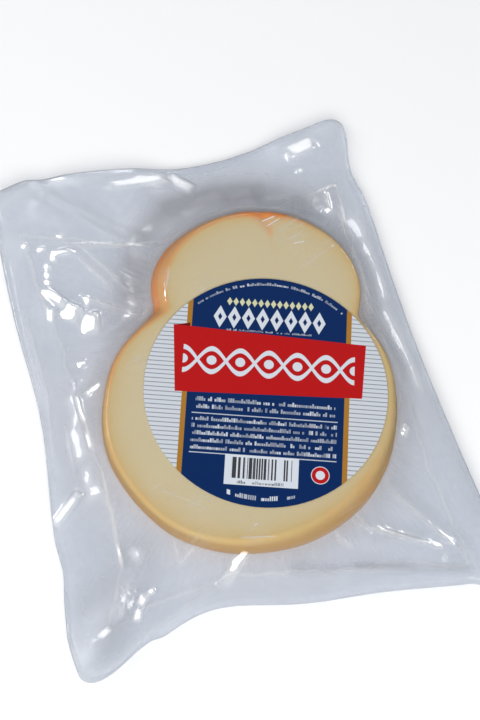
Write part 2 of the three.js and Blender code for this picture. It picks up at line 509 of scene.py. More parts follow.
def off_line(points: np.ndarray, start: Place, end: Place) -> tuple[np.ndarray, np.ndarray]:
    """How far points lie off a stretch, to its left, and how far along it they are.

    Args:
        points: The points, whose first two coordinates count.
        start: Where the stretch starts.
        end: Where it ends.

    Returns:
        The distance, which has a sign beside the stretch, and the share along it, from 0 to 1.
    """
    along = np.subtract(end, start)
    offset = points[..., :2] - np.array(start)
    share = np.clip(offset @ along / (along @ along), 0.0, 1.0)
    near = offset - share[..., None] * along
    side = np.sign(along[0] * offset[..., 1] - along[1] * offset[..., 0])
    return side * np.hypot(near[..., 0], near[..., 1]), share


def wander(points: np.ndarray, pitch: float, seed: float) -> np.ndarray:
    """Smooth noise, about from -1 to 1, read at points in millimetres."""
    flat = points.reshape(-1, 3) / pitch + seed
    return np.array([noise.noise(Vector(p)) for p in flat]).reshape(points.shape[:-1])


# ---- The cheese ----------------------------------------------------------------------------------


@dataclass(frozen=True)
class CheeseFinish:
    """The cut face, pale and a little deeper towards its rim, and the smoked rind."""

    heart: Colour = (0.665, 0.55, 0.33)
    margin: Colour = (0.64, 0.44, 0.16)
    smoked: Colour = (0.78, 0.27, 0.05)
    mild: Colour = (0.48, 0.28, 0.085)
    knot: Colour = (0.86, 0.24, 0.01)
    margin_width: float = 4.6
    margin_waver: float = 1.2
    smoke_waver: float = 0.5
    pale_clouds: float = 1.12
    foot_shade: float = 0.8
    foot_depths: tuple[float, float] = (-13.0, -3.0)
    rim_depths: tuple[float, float] = (-3.2, 0.9)
    rim_line: float = 1.3
    roughness: float = 0.42
    roughness_spread: float = 0.16
    relief: float = 0.35

    def material(self) -> bpy.types.Material:
        """Builds the material from the mesh's own attributes.

        Returns:
            The material.
        """
        paint = Paint("cheese")
        place = paint.scaled(paint.place(), (1 / MM,) * 3)
        depth = paint.attribute("depth")
        wavy = depth + self.margin_waver * (paint.grain(place, 0.12, 3.0, 3.0) - 0.5)
        smoke = paint.attribute("smoke") + self.smoke_waver * (paint.grain(place, 0.12, 4.0, 8.0) - 0.5)
        clouds = paint.grain(place, 0.045, 3.0, 1.0)
        near_rim = (wavy.most(0.0) * (-1 / self.margin_width)).maths("EXPONENT")
        face = paint.blend(near_rim, self.heart, self.margin)
        face = paint.blend((clouds - 0.42) * 0.5, face, tuple(c * self.pale_clouds for c in self.heart))
        rind = paint.blend(smoke.rise(0.1, 1.0), self.mild, self.smoked)
        foot = tuple(c * self.foot_shade for c in self.smoked)
        rind = paint.blend(depth.fall(*self.foot_depths) * 0.45, rind, foot)
        skin = paint.blend(depth.fall(*self.rim_depths), face, rind)
        line = 1.0 - (abs(depth - 0.1) / self.rim_line).least(1.0)
        skin = paint.blend(line * 0.6 * smoke.rise(0.0, 0.8), skin, self.smoked)
        skin = paint.blend(paint.attribute("scar"), skin, self.knot)
        fine = paint.grain(place, 0.9, 4.0, 5.0)
        coarse = paint.grain(place, 0.16, 2.0, 9.0)
        shader = paint.add("ShaderNodeBsdfPrincipled", None, {
            "Base Color": skin,
            "Roughness": self.roughness + self.roughness_spread * fine,
            "Specular IOR Level": 0.35,
            "Subsurface Weight": 0.25,
            "Subsurface Radius": (1.0, 0.6, 0.25),
            "Subsurface Scale": 2.0 * MM,
            "IOR": 1.42,
            "Normal": paint.bump(fine * 0.35 + coarse, self.relief * MM, 0.35),
        })
        return paint.surface(shader)


@dataclass(frozen=True)
class SmokedSide:
    """A side of the rind that took more smoke. Its direction from the hub and its spread are in degrees."""

    towards: float
    amount: float
    spread: float

    def at(self, degrees: np.ndarray) -> np.ndarray:
        """How much smoke it gives to each direction."""
        off = np.abs((degrees - self.towards + 180.0) % 360.0 - 180.0)
        return self.amount * bell(off, self.spread)


@dataclass
class Cheese:
    """The half cheese: a cut face with the whole cheese's outline, and the rind round its side."""

    solid_rounding: float = 2.2
    rounding: float = 1.9
    belly_height: float = 7.2
    foot_inset: float = 8.0
    lift: float = 0.15
    rim_depth: float = 0.5
    rim_rings: int = 7
    side_rings: int = 8
    foot_rings: int = 9
    inner_rings: tuple[float, ...] = (0.15, 0.4, 0.65, 0.85)
    sole_rings: tuple[float, ...] = (0.97, 0.7, 0.35)
    face_steps: tuple[float, ...] = (14.0, 12.0, 10.0, 8.5, 7.0, 6.0, 5.0, 4.0, 3.2, 2.4, 1.7, 1.0, 0.5, 0.0)
    knot: Place = (28.5, 67.2)
    knot_root: Place = (30.4, 56.6)
    knot_ends: tuple[Place, Place] = ((20.0, 69.6), (38.0, 64.6))
    seam_end: Place = (29.0, 36.0)
    knot_depth: float = 0.9
    wedge_mark: float = 0.45
    wedge_width: float = 4.4
    wedge_taper: float = 2.8
    patch_mark: float = 1.15
    patch_width: float = 2.7
    seam_mark: float = 0.14
    seam_width: float = 1.1
    pinch_width: float = 2.6
    pinch_taper: float = 1.2
    swell_coarse: float = 0.26
    swell_fine: float = 0.1
    swell_inset: float = 0.28
    face_waves: float = 0.12
    most_smoke: float = 1.2
    smoked_sides: tuple[SmokedSide, ...] = (
        SmokedSide(125, 1.0, 45),
        SmokedSide(70, 0.5, 30),
        SmokedSide(0, 0.25, 30),
        SmokedSide(-70, 0.3, 14),
        SmokedSide(-150, 0.25, 25),
        SmokedSide(165, 0.6, 20),
    )
    finish: CheeseFinish = field(default_factory=CheeseFinish)

    def rind(self, pack: Pack, height: float) -> np.ndarray:
        """The rind at a height, as the solid has it but for its crisper rim.

        Args:
            pack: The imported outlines.
            height: The height over the floor.

        Returns:
            Its radius on each ray.
        """
        face = pack.face + self.solid_rounding
        bulge = pack.belly - face
        if height >= self.belly_height:
            rise = (pack.thickness - height) / (pack.thickness - self.belly_height)
            rim = min(max(height - (pack.thickness - self.rounding), 0.0) / self.rounding, 1.0)
            side = face + bulge * math.sin(math.pi / 2 * rise)
            return side - self.rounding * (1 - math.sqrt(1 - rim * rim))
        drop = 1 - height / self.belly_height
        return pack.belly - self.foot_inset * (1 - math.sqrt(max(1 - drop * drop, 0.0)))

    def face_rings(self, pack: Pack, height: float) -> list[np.ndarray]:
        """Rings across the cut face, finer towards its rim.

        Args:
            pack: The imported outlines.
            height: The height over the floor.

        Returns:
            The rings' points, from the middle outwards.
        """
        rim = self.rind(pack, pack.thickness)
        inner = [pack.point((rim - self.face_steps[0]) * share, height) for share in self.inner_rings]
        return inner + [pack.point(rim - step, height) for step in self.face_steps]

    def rim_heights(self, pack: Pack, count: int) -> list[float]:
        """Heights of `count` rings down the rounded rim."""
        turns = [math.pi / 2 * k / count for k in range(1, count + 1)]
        return [pack.thickness - self.rounding * (1 - math.cos(turn)) for turn in turns]

    def build(self, pack: Pack) -> bpy.types.Object:
        """Makes the piece.

        Args:
            pack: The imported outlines.

        Returns:
            The finished piece, in place of the solid.
        """
        top, low = pack.thickness, self.lift
        turns = [math.pi / 2 * k / self.foot_rings for k in range(1, self.foot_rings + 1)]
        heights = self.rim_heights(pack, self.rim_rings)
        heights += list(np.linspace(top - self.rounding, self.belly_height, self.side_rings + 1)[1:])
        heights += [low + (self.belly_height - low) * math.cos(turn) for turn in turns]
        rings = self.face_rings(pack, top)
        rim = span(rings[-1], HUB)
        depths = [rim - span(ring, HUB) + self.rim_depth for ring in rings]
        for height in heights:
            rings.append(pack.point(self.rind(pack, height), height))
            depths.append(np.full(len(pack.angles), self.rim_depth - (top - height)))
        sole = span(rings[-1], HUB)
        for share in self.sole_rings:
            rings.append(pack.point(sole * share, low))
            depths.append(depths[-1])
        points, depth = np.array(rings), np.array(depths)
        marks = {"depth": depth, "smoke": self._smoke(pack, points), "scar": self._scar(points)}
        self._weather(pack, points, depth)
        piece = ring_mesh("cheese_half", pack.metres(points), marks)
        piece.data.materials.append(self.finish.material())
        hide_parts(Node.CHEESE.value)
        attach(piece, "root")
        return piece

    def _scar(self, points: np.ndarray) -> np.ndarray:
        """Where the rind turns in at the hanging cord's knot: a patch on the rim, and a wedge into the face.

        Args:
            points: The points, in millimetres.

        Returns:
            How strongly each point shows it, from 0 to 1.
        """
        patch, _ = off_line(points, *self.knot_ends)
        wedge, share = off_line(points, self.knot, self.knot_root)
        seam, along = off_line(points, self.knot_root, self.seam_end)
        mark = self.patch_mark * bell(patch, self.patch_width)
        narrowing = bell(wedge, self.wedge_width - self.wedge_taper * share)
        mark = mark + self.wedge_mark * narrowing * (1.0 - 0.3 * share)
        mark = mark + self.seam_mark * bell(seam, self.seam_width) * (1.0 - along)
        return np.clip(mark, 0.0, 0.95)

    def _weather(self, pack: Pack, points: np.ndarray, depth: np.ndarray) -> None:
        """Gives the shape its slight unevenness, and the dent at the knot.

        The side's swell is set inwards, so that the rind stays under the film.

        Args:
            pack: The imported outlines.
            points: The points, in millimetres, which are moved.
            depth: How far each lies inside the rim. It is `rim_depth` at the rim and falls down the side.
        """
        side = soft_step(-depth, -0.4, 1.2)
        lift = soft_step(points[..., 2], 0.5, 4.0)
        outward = np.stack([np.cos(pack.angles), np.sin(pack.angles)], axis=1)
        swell = self.swell_coarse * wander(points, 17.0, 4.0) + self.swell_fine * wander(points, 6.0, 9.0)
        swell = swell - self.swell_inset
        wedge, share = off_line(points, self.knot, self.knot_root)
        pinch = self.knot_depth * bell(wedge, self.pinch_width - self.pinch_taper * share) * (1.0 - share)
        points[..., :2] += outward * (side * (lift * swell - 0.7 * pinch * lift))[..., None]
        flat = 1.0 - side
        points[..., 2] += flat * lift * (self.face_waves * wander(points, 22.0, 2.0) - pinch)

    def _smoke(self, pack: Pack, points: np.ndarray) -> np.ndarray:
        """How deeply the rind is smoked, on each ray of each of the rings in `points`."""
        total = sum(side.at(np.degrees(pack.angles)) for side in self.smoked_sides)
        return np.clip(np.broadcast_to(total, points.shape[:2]), 0.0, self.most_smoke)


# ---- The film ------------------------------------------------------------------------------------


@dataclass(frozen=True)
class Stroke:
    """A painted glint on the film over the cut face: a fine straight line of whiter haze, tapered to its
    ends, in place of light caught by a wrinkle.
    """

    start: Place
    end: Place
    width: float
    strength: float

    def mask(self, x: Wire, y: Wire) -> Wire:
        """Where it shows.

        Args:
            x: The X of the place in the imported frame, in millimetres.
            y: Its Y.

        Returns:
            A value from 0 to 1.
        """
        run = (self.end[0] - self.start[0], self.end[1] - self.start[1])
        length = math.hypot(*run)
        along = ((x - self.start[0]) * run[0] + (y - self.start[1]) * run[1]) / length**2
        aside = abs((y - self.start[1]) * run[0] - (x - self.start[0]) * run[1]) / length
        return aside.fall(self.width * 0.3, self.width) * abs(along - 0.5).fall(0.3, 0.55)


@dataclass(frozen=True)
class FilmWires:
    """What the film's attributes and patterns say at a place, as values of its material.

    The attributes are `cling` to `shade`. `line` shows the creases and the seal's edge, `grid` is the seal's
    emboss, `streak` the drawn lines over the cheese, `cloth` the soft waves of the free sheet, `facets` its
    crumpled cells, and `ray` the fine lines that run away from the rind.
    """

    x: Wire
    y: Wire
    cling: Wire
    seal: Wire
    rumple: Wire
    brim: Wire
    pressed: Wire
    shade: Wire
    line: Wire
    grid: Wire
    streak: Wire
    cloth: Wire
    facets: Wire
    ray: Wire


@dataclass(frozen=True)
class FilmFinish:
    """Clear film with a faint cool haze, glossy, with its seal band embossed in a fine grid. Its haze
    carries painted shade and painted highlights.

    The numbers from `free` to `pressed` are shares of the glossy shader over the clear one. Pitches, sizes
    and heights are in millimetres, and scales are waves or cells for each millimetre.
    """

    haze: Colour = (0.73, 0.77, 0.86)
    # Painted shade: a darker blue-grey haze along the cut edge, in place of the shadow on the floor under
    # the seal.
    edge_shade_haze: Colour = (0.52, 0.59, 0.72)
    # The faint haze of the film on the cheese, also the colour of the painted glints and painted wrinkle
    # sheen there.
    cling_haze_and_glint: Colour = (0.95, 0.93, 0.87)
    # Whiter haze along creases and the seal's edge: partly the creased film's own whitening, partly painted
    # highlight.
    crease_haze_and_sheen: Colour = (0.93, 0.91, 0.88)
    # Painted shade: near-black haze where the film lies in the cheese's cast shadow and mirrors dark
    # surroundings.
    painted_shade_haze: Colour = (0.12, 0.12, 0.14)
    # Painted highlight: near-white haze round the tilted facets, so that their glints read as whole bright
    # patches.
    painted_glint_haze: Colour = (0.95, 0.97, 1.0)
    tint: Colour = (0.907, 0.92, 0.939)
    free: float = 0.21
    sealed: float = 0.23
    # Extra share for the painted shade along the cut edge.
    edge: float = 0.10
    clinging: float = 0.05
    wrinkled: float = 0.03
    # Whiter haze along the wrinkles of the film on the cheese: partly the film's own haze, partly painted
    # sheen.
    wrinkle_sheen_share: float = 0.2
    creased: float = 0.22
    rayed: float = 0.08
    # Share of the painted shade.
    shaded: float = 0.32
    # Share of the painted highlight round the facets.
    pressed: float = 0.26
    emboss_pitch: float = 0.85
    emboss_slant: float = 0.35
    emboss_height: float = 0.028
    streak_turn: float = math.radians(24.0)
    streak_size: Place = (22.0, 2.6)
    streak_height: float = 0.12
    cloth_scale: float = 0.22
    cloth_height: float = 0.12
    facet_scale: float = 0.36
    facet_height: float = 0.8
    ray_pitch: float = 2.4
    ray_length: float = 22.0
    seal_line: float = 2.4
    roughness: float = 0.13
    seal_roughness: float = 0.12
    shade_roughness: float = 0.4
    ior: float = 2.0
    coat_roughness: float = 0.06
    coat_ior: float = 1.9
    # Painted glints on the film over the cheese.
    glints: tuple[Stroke, ...] = (
        Stroke((26.6, 64.0), (33.7, 65.5), 0.45, 0.9),
        Stroke((28.1, 61.2), (35.6, 64.1), 0.4, 0.8),
        Stroke((37.8, 60.6), (44.2, 62.7), 0.35, 0.5),
        Stroke((37.3, 53.3), (41.2, 54.4), 0.4, 0.6),
        Stroke((37.4, 50.9), (43.6, 50.9), 0.45, 0.8),
        Stroke((53.7, 46.0), (55.0, 46.4), 0.6, 0.8),
        Stroke((36.0, 38.0), (54.0, 46.0), 0.9, 0.22),
        Stroke((-16.5, 52.3), (-22.8, 36.4), 0.5, 0.55),
        Stroke((-45.0, -43.0), (-25.0, -57.0), 0.5, 0.3),
        Stroke((-17.0, -71.0), (-1.0, -74.0), 0.5, 0.45),
        Stroke((-9.6, -67.6), (-7.4, -66.8), 0.5, 0.6),
    )

    def material(self) -> bpy.types.Material:
        """Builds the material from the mesh's own attributes.

        Returns:
            The material.
        """
        paint = Paint("film")
        wires = self._read(paint)
        duller = self.seal_roughness * wires.seal + self.shade_roughness * wires.shade
        glazed = paint.add("ShaderNodeBsdfPrincipled", None, {
            "Base Color": self._colour(paint, wires),
            "Roughness": self.roughness + duller,
            "IOR": self.ior,
            "Specular IOR Level": 1.0,
            "Coat Weight": (1.0 - wires.shade).most(0.1),
            "Coat Roughness": self.coat_roughness,
            "Coat IOR": self.coat_ior,
            "Normal": self._normal(paint, wires),
        })
        clear = paint.add("ShaderNodeBsdfTransparent", None, {0: (*self.tint, 1.0)})
        mixed = paint.add("ShaderNodeMixShader", None, {0: self._share(wires), 1: clear, 2: glazed})
        return paint.surface(mixed)

    def _read(self, paint: Paint) -> FilmWires:
        """Reads the mesh's attributes and makes the patterns.

        Args:
            paint: The material's tree.

        Returns:
            Their values.
        """
        names = ("cling", "seal", "rumple", "brim", "pressed", "shade")
        marks = {name: paint.attribute(name) for name in names}
        seal = marks["seal"]
        place = paint.scaled(paint.place(), (1 / MM,) * 3)
        x, y, _ = paint.parts(place)
        wave = math.tau / self.emboss_pitch
        along, across = (x + y * self.emboss_slant) * wave, (y - x * self.emboss_slant) * wave
        cosine, sine = math.cos(self.streak_turn), math.sin(self.streak_turn)
        long, wide = self.streak_size
        drawn = paint.vector((x * cosine + y * sine) / long, (y * cosine - x * sine) / wide, 0.0)
        turn_x, turn_y, away = paint.parts(paint.attribute("sheaf", "Vector"))
        sheaf = paint.vector(turn_x / self.ray_pitch, turn_y / self.ray_pitch, away / self.ray_length)
        ridges = 1.0 - abs(paint.grain(sheaf, 1.0, 2.0, 3.0) * 2.0 - 1.0)
        fade = (away * (-1 / self.ray_length)).maths("EXPONENT")
        return FilmWires(
            x=x,
            y=y,
            **marks,
            line=(paint.attribute("crease") + seal * (1.0 - seal) * self.seal_line).least(1.0),
            grid=along.maths("SINE") * across.maths("SINE") * 0.5 + 0.5,
            streak=1.0 - abs(paint.grain(drawn, 1.0, 2.0, 6.0) * 2.0 - 1.0),
            cloth=paint.grain(place, self.cloth_scale, 2.0, 2.0),
            facets=paint.cells(place, self.facet_scale),
            ray=ridges.rise(0.8, 0.99) * (1.0 - seal) * fade,
        )

    def _normal(self, paint: Paint, wires: FilmWires) -> Wire:
        """The relief: the emboss of the seal, streaks on the cheese, and facets and waves of the free sheet.

        Args:
            paint: The material's tree.
            wires: The attributes and patterns.

        Returns:
            The normal.
        """
        streaks = wires.streak * wires.cling * (0.25 + wires.rumple)
        free = (1.0 - wires.cling) * (1.0 - wires.pressed)
        facets = wires.facets * (wires.rumple + 0.04) * free * (1.0 - wires.seal * 0.9)
        normal = paint.bump(wires.grid * wires.seal, self.emboss_height * MM)
        normal = paint.bump(streaks, self.streak_height * MM, 1.0, normal)
        normal = paint.bump(facets, self.facet_height * MM, 0.8, normal)
        return paint.bump(wires.cloth * free, self.cloth_height * MM, 0.4, normal)

    def _share(self, wires: FilmWires) -> Wire:
        """How much of the glossy shader shows, raised for the painted shade, glints and sheen.

        Args:
            wires: The attributes and patterns.

        Returns:
            The share, from 0 to 1.
        """
        # Whiter haze along the wrinkles of the film on the cheese: partly the film's own haze, partly
        # painted sheen.
        wrinkle_sheen = wires.streak.rise(0.86, 0.985) * wires.rumple.rise(0.05, 0.6)
        # Painted highlight round the tilted facets, broken by the emboss where the seal is.
        painted_glint = wires.pressed * (1.0 - 0.75 * wires.seal * (1.0 - wires.grid))
        # More share along the cut edge, for the painted edge shade.
        share = self.free + (self.sealed - self.free) * wires.seal + self.edge * wires.brim
        share = share * (0.86 + 0.28 * wires.cloth)
        # More haze along creases and the seal's edge, partly as painted highlight, on the fine rays, and for
        # the painted shade.
        share = share + self.creased * wires.line + self.rayed * wires.ray + self.shaded * wires.shade
        share = share + self.pressed * painted_glint
        held = self.clinging + self.wrinkled * wires.rumple + self.wrinkle_sheen_share * wrinkle_sheen
        share = share + (held - share) * wires.cling
        # Painted glints on the film over the cheese.
        for glint in self.glints:
            share = share.most(glint.mask(wires.x, wires.y) * (glint.strength * wires.cling))
        return share

    def _colour(self, paint: Paint, wires: FilmWires) -> Wire:
        """The colour of the haze, with the painted shade and painted highlights in it.

        Args:
            paint: The material's tree.
            wires: The attributes and patterns.

        Returns:
            The colour.
        """
        # Painted shade along the cut edge.
        haze = paint.blend(wires.brim * 0.8, self.haze, self.edge_shade_haze)
        # Whiter along creases and the seal's edge, partly as painted highlight.
        haze = paint.blend(wires.line * 0.7, haze, self.crease_haze_and_sheen)
        # Painted shade from the `shade` attribute.
        haze = paint.blend(wires.shade.least(0.9), haze, self.painted_shade_haze)
        # Painted highlight round the tilted facets.
        haze = paint.blend(wires.pressed, haze, self.painted_glint_haze)
        return paint.blend(wires.cling, haze, self.cling_haze_and_glint)


@dataclass(frozen=True)
class Rumple:
    """A place where the film is more wrinkled."""

    place: Place
    radius: float
    amount: float

    def at(self, points: np.ndarray) -> np.ndarray:
        """How much it wrinkles points."""
        return self.amount * bell(span(points, self.place), self.radius)


@dataclass(frozen=True)
class Stretch:
    """Something along a straight stretch of the sheet, which fades away over `spread` to both sides."""

    start: Place
    end: Place
    amount: float
    spread: float

    def at(self, points: np.ndarray) -> np.ndarray:
        """How strong it is at points."""
        offset, _ = off_line(points, self.start, self.end)
        return self.amount * bell(offset, self.spread)


class Fold(Stretch):
    """A soft ridge, `amount` millimetres high, or a valley where that is below 0."""


class PaintedShade(Stretch):
    """A stretch of painted shade on the film, by an `amount` from 0 to 1: dark haze in place of the cheese's
    cast shadow and of dark reflections. It also dulls the gloss there.
    """


class Crease(Stretch):
    """A sharp wrinkle, `amount` millimetres high, which dies out at both ends."""

    def at(self, points: np.ndarray) -> np.ndarray:
        """How much it lifts the sheet.

        Args:
            points: The points, in millimetres.

        Returns:
            The lift, in millimetres.
        """
        offset, share = off_line(points, self.start, self.end)
        ends = np.sqrt(np.clip(4 * share * (1 - share), 0.0, 1.0))
        return self.amount * np.exp(-np.abs(offset) / self.spread * 1.6) * ends


@dataclass(frozen=True)
class Facet:
    """A flat facet of the top web, tilted so that one of the lamps shows in it from the photograph's side.

    `half` is half its length and width, and `turn` is in degrees. A higher `squareness` gives crisper edges,
    and `lift` raises it so that its low side doesn't sink into the web.
    """

    place: Place
    half: Place
    turn: float
    shine: Shine = Shine.LEFT
    squareness: int = 6
    lift: float = 0.6

    def press(self, points: np.ndarray, slope: np.ndarray) -> np.ndarray:
        """Tilts the web.

        Args:
            points: The web's points, in millimetres, which are changed.
            slope: The rise for each millimetre along X and Y.

        Returns:
            How far each point lies in the facet, from 0 to 1.
        """
        turn = math.radians(self.turn)
        axes = np.array([[math.cos(turn), math.sin(turn)], [-math.sin(turn), math.cos(turn)]])
        offset = points[..., :2] - np.array(self.place)
        local = np.abs(offset @ axes.T) / np.array(self.half)
        share = np.exp(-(local[..., 0] ** self.squareness) - local[..., 1] ** self.squareness)
        nearest = np.unravel_index(span(points, self.place).argmin(), share.shape)
        rise = np.abs(axes @ slope) @ np.array(self.half) * self.lift
        plane = points[nearest][2] + rise + offset @ slope
        points[..., 2] += share * (plane - points[..., 2])
        return share


@dataclass
class Film:
    """Both webs as one skin: over and under the cheese, together round it, and welded along the edge.

    The folds, creases, rumples, shades and facets lie in the drawing's plane. `pocket` is the outline inside
    which the webs are not welded. `crowding` sets how much closer the rings lie near the cheese.
    """

    gap: float = 0.12
    leaves_at: float = 12.2
    meets_at: float = 4.2
    tent_width: float = 17.0
    sheet_height: float = 5.0
    lowest: float = 1.3
    half_thickness: float = 0.14
    top_floor: float = 0.55
    back_floor: float = 0.25
    rim_rings: int = 6
    side_height: float = 13.4
    sole_rings: tuple[float, ...] = (0.2, 0.5, 0.8)
    sole_height: float = 0.02
    under_heights: tuple[float, ...] = (0.6, 1.6, 2.8)
    top_rings: int = 72
    back_rings: int = 16
    crowding: float = 1.25
    bridge: float = 11.0
    ruffle: float = 0.4
    long_wave: float = 0.5
    short_wave: float = 0.2
    sheaf_radius: float = 62.0
    folds: tuple[Fold, ...] = (
        Fold((-80, 108), (-22, 98), 3.6, 11),
        Fold((-60, 104), (-26, 73), -2.6, 7),
        Fold((-62, 96), (-27, 70), 1.4, 6),
        Fold((-72, 78), (-40, 66), 1.0, 9),
        Fold((0, 103), (34, 103), -1.8, 15),
        Fold((50, 100), (74, 106), 2.0, 13),
        Fold((-88, -38), (-68, -46), 1.4, 8),
        Fold((-84, -84), (-60, -60), -1.0, 11),
        Fold((-80, -106), (-58, -88), 1.2, 8),
        Fold((47, -66), (76, -102), 0.3, 4),
        Fold((28, -78), (66, -97), 1.3, 6),
        Fold((80, -30), (84, -74), 1.0, 10),
        Fold((-26, -90), (14, -96), -1.6, 9),
        Fold((-56, -88), (-22, -84), -1.0, 2.4),
        Fold((7, -89), (64, -98), -1.0, 2.8),
    )
    creases: tuple[Crease, ...] = (
        Crease((-54, 70), (-40, 48), 0.7, 1.5),
        Crease((-50, 72), (-33, 45), 0.5, 1.3),
        Crease((-56, 50), (-31, 33), 0.9, 1.6),
        Crease((-66, 76), (-24, 67), 0.4, 1.3),
        Crease((-67, 6), (-64, -22), 0.8, 1.5),
        Crease((-73, -7), (-74, -34), 0.6, 1.3),
        Crease((-80, 48), (-78, 8), 0.5, 1.3),
        Crease((-78, 10), (-81, -24), 0.4, 1.3),
        Crease((-69, 54), (-62, 44), 0.8, 1.5),
        Crease((-63, -28), (-62, -72), 0.5, 1.8),
        Crease((-41, -66), (-40, -76), 0.5, 1.1),
        Crease((-40, -76), (-29, -68), 0.5, 1.1),
        Crease((-62, -102), (-22, -86), 0.5, 1.5),
        Crease((46, -56), (77, -102), 0.3, 1.4),
        Crease((30, -74), (62, -91), 0.8, 1.4),
        Crease((33, -70), (37, -77), 0.5, 1.1),
        Crease((23, -77), (30, -85), 0.5, 1.1),
        Crease((40, -78), (66, -94), 0.5, 1.2),
        Crease((57, 76), (67, 78), 0.7, 1.1),
        Crease((62, 78), (61, 64), 0.7, 1.3),
        Crease((65, 70), (64, 38), 0.25, 1.1),
        Crease((65, 28), (70, 5), 0.3, 1.1),
        Crease((63, 24), (64, 12), 0.6, 1.1),
        Crease((-28, 38), (-35, 25), 0.6, 1.1),
    )
    rumples: tuple[Rumple, ...] = (
        Rumple((-60, 42), 9, 0.5),
        Rumple((-66, 68), 7, 0.45),
        Rumple((-64, 0), 9, 0.5),
        Rumple((-58, -89), 7, 0.8),
        Rumple((-36, -72), 12, 0.4),
        Rumple((38, -79), 13, 0.5),
        Rumple((65, -94), 7, 0.6),
        Rumple((59, 68), 8, 0.3),
        Rumple((66, 14), 8, 0.3),
        Rumple((-28, 36), 6, 0.4),
        Rumple((64, -42), 4, 0.8),
        Rumple((30, 62), 4, 0.3),
        Rumple((40, 55), 7, 0.6),
        Rumple((54, 46), 3, 0.5),
        Rumple((42, 42), 6, 0.4),
        Rumple((-19, 46), 4, 0.6),
        Rumple((-4, 38), 5, 0.6),
        Rumple((-39, 9), 6, 0.5),
        Rumple((-42, -45), 6, 0.5),
        Rumple((-28, -56), 5, 0.5),
        Rumple((-8, -72), 7, 0.4),
    )
    # Painted shade: above the head and left of the waist for the cheese's cast shadow, and along valleys,
    # folds and edges for dark reflections.
    shades: tuple[PaintedShade, ...] = (
        PaintedShade((-22, 73), (-8, 82), 0.85, 9),
        PaintedShade((-8, 82), (12, 85), 1.0, 10),
        PaintedShade((12, 85), (32, 82), 1.0, 10),
        PaintedShade((32, 82), (50, 73), 0.85, 10),
        PaintedShade((-29, 60), (-34, 45), 0.95, 8),
        PaintedShade((-34, 45), (-42, 36), 0.5, 7),
        PaintedShade((64, 78), (68, 40), 0.35, 7),
        PaintedShade((68, 40), (72, -15), 0.35, 5),
        PaintedShade((-57, 101), (-44, 92), 0.2, 4.5),
        PaintedShade((-44, 92), (-26, 71), 0.3, 4.5),
        PaintedShade((54, -62), (77, -94), 0.25, 2.6),
        PaintedShade((4, -87.5), (30, -92.5), 0.45, 2.6),
        PaintedShade((30, -92.5), (52, -98), 0.7, 2.4),
        PaintedShade((52, -98), (73, -104), 0.5, 2.4),
        PaintedShade((40, -83), (59, -85), 0.25, 2.0),
        PaintedShade((-76, -84), (-57, -69), 0.5, 10),
        PaintedShade((-76, -100), (-66, -84), 0.6, 10),
        PaintedShade((74, 56), (86, -80), 0.22, 8),
        PaintedShade((-78, 40), (-70, -60), 0.2, 9),
    )
    facets: tuple[Facet, ...] = (
        Facet((-18, 97.0), (15.0, 3.2), -3, Shine.REAR),
        Facet((-1.0, 94.0), (7.0, 2.8), -45, Shine.REAR),
        Facet((56, 98.6), (7.0, 4.6), 15, Shine.REAR),
        Facet((-80, -43.5), (8.5, 2.2), 42),
        Facet((-59.5, 70.5), (5.5, 1.8), -5),
        Facet((-63, 68), (1.9, 1.6), 0),
        Facet((-66, 65.2), (1.8, 1.6), 0),
        Facet((-67, 61.8), (1.8, 1.5), 0),
        Facet((-67.6, 58.4), (1.8, 1.5), 0),
        Facet((-69, 54.4), (1.9, 1.6), 0),
        Facet((-65, 49.5), (6.5, 2.4), -55),
        Facet((-60.5, 42.0), (5.0, 4.4), -35),
        Facet((-54.0, 35.8), (5.2, 4.6), 80),
        Facet((-69, 43), (3.2, 1.6), 70),
        Facet((-53, 45), (3.0, 1.6), 60),
        Facet((-74, 77), (1.9, 1.4), 0),
        Facet((-67, 74.2), (2.2, 1.4), -20),
        Facet((-58, 78.6), (2.0, 1.2), -10),
        Facet((-61, 18), (2.6, 1.5), 10),
        Facet((-59, 4.5), (4.2, 1.7), 20),
        Facet((-66, -2), (6.0, 1.1), -86),
        Facet((-65.4, -17), (4.0, 1.0), -88),
        Facet((-58, -87), (2.8, 2.0), 50),
        Facet((-61.0, -92.5), (2.6, 1.8), 70),
        Facet((-54.0, -84.4), (2.2, 1.4), 20),
        Facet((-75, -96), (2.2, 1.6), 30),
        Facet((-17.8, -81.2), (9.0, 2.9), 43),
        Facet((64, -42), (2.8, 1.8), 48),
        Facet((64, -92), (1.5, 1.2), 0, Shine.RIGHT),
        Facet((65.5, -97.5), (1.8, 1.2), 70, Shine.RIGHT),
        Facet((53, 88), (1.8, 1.3), 0, Shine.RIGHT),
        Facet((60, 66), (1.8, 1.1), 30, Shine.RIGHT),
    )
    pocket: tuple[Place, ...] = (
        (-74, 82), (-68, 30), (-66, 0), (-63, -40), (-63, -72), (-75, -97), (-55, -89),
        (-24, -85), (15, -91), (52, -96), (75, -103), (70, -60), (67, 0), (65, 45),
        (67, 78), (45, 73), (20, 69), (-16, 66), (-35, 69), (-54, 76),
    )
    finish: FilmFinish = field(default_factory=FilmFinish)

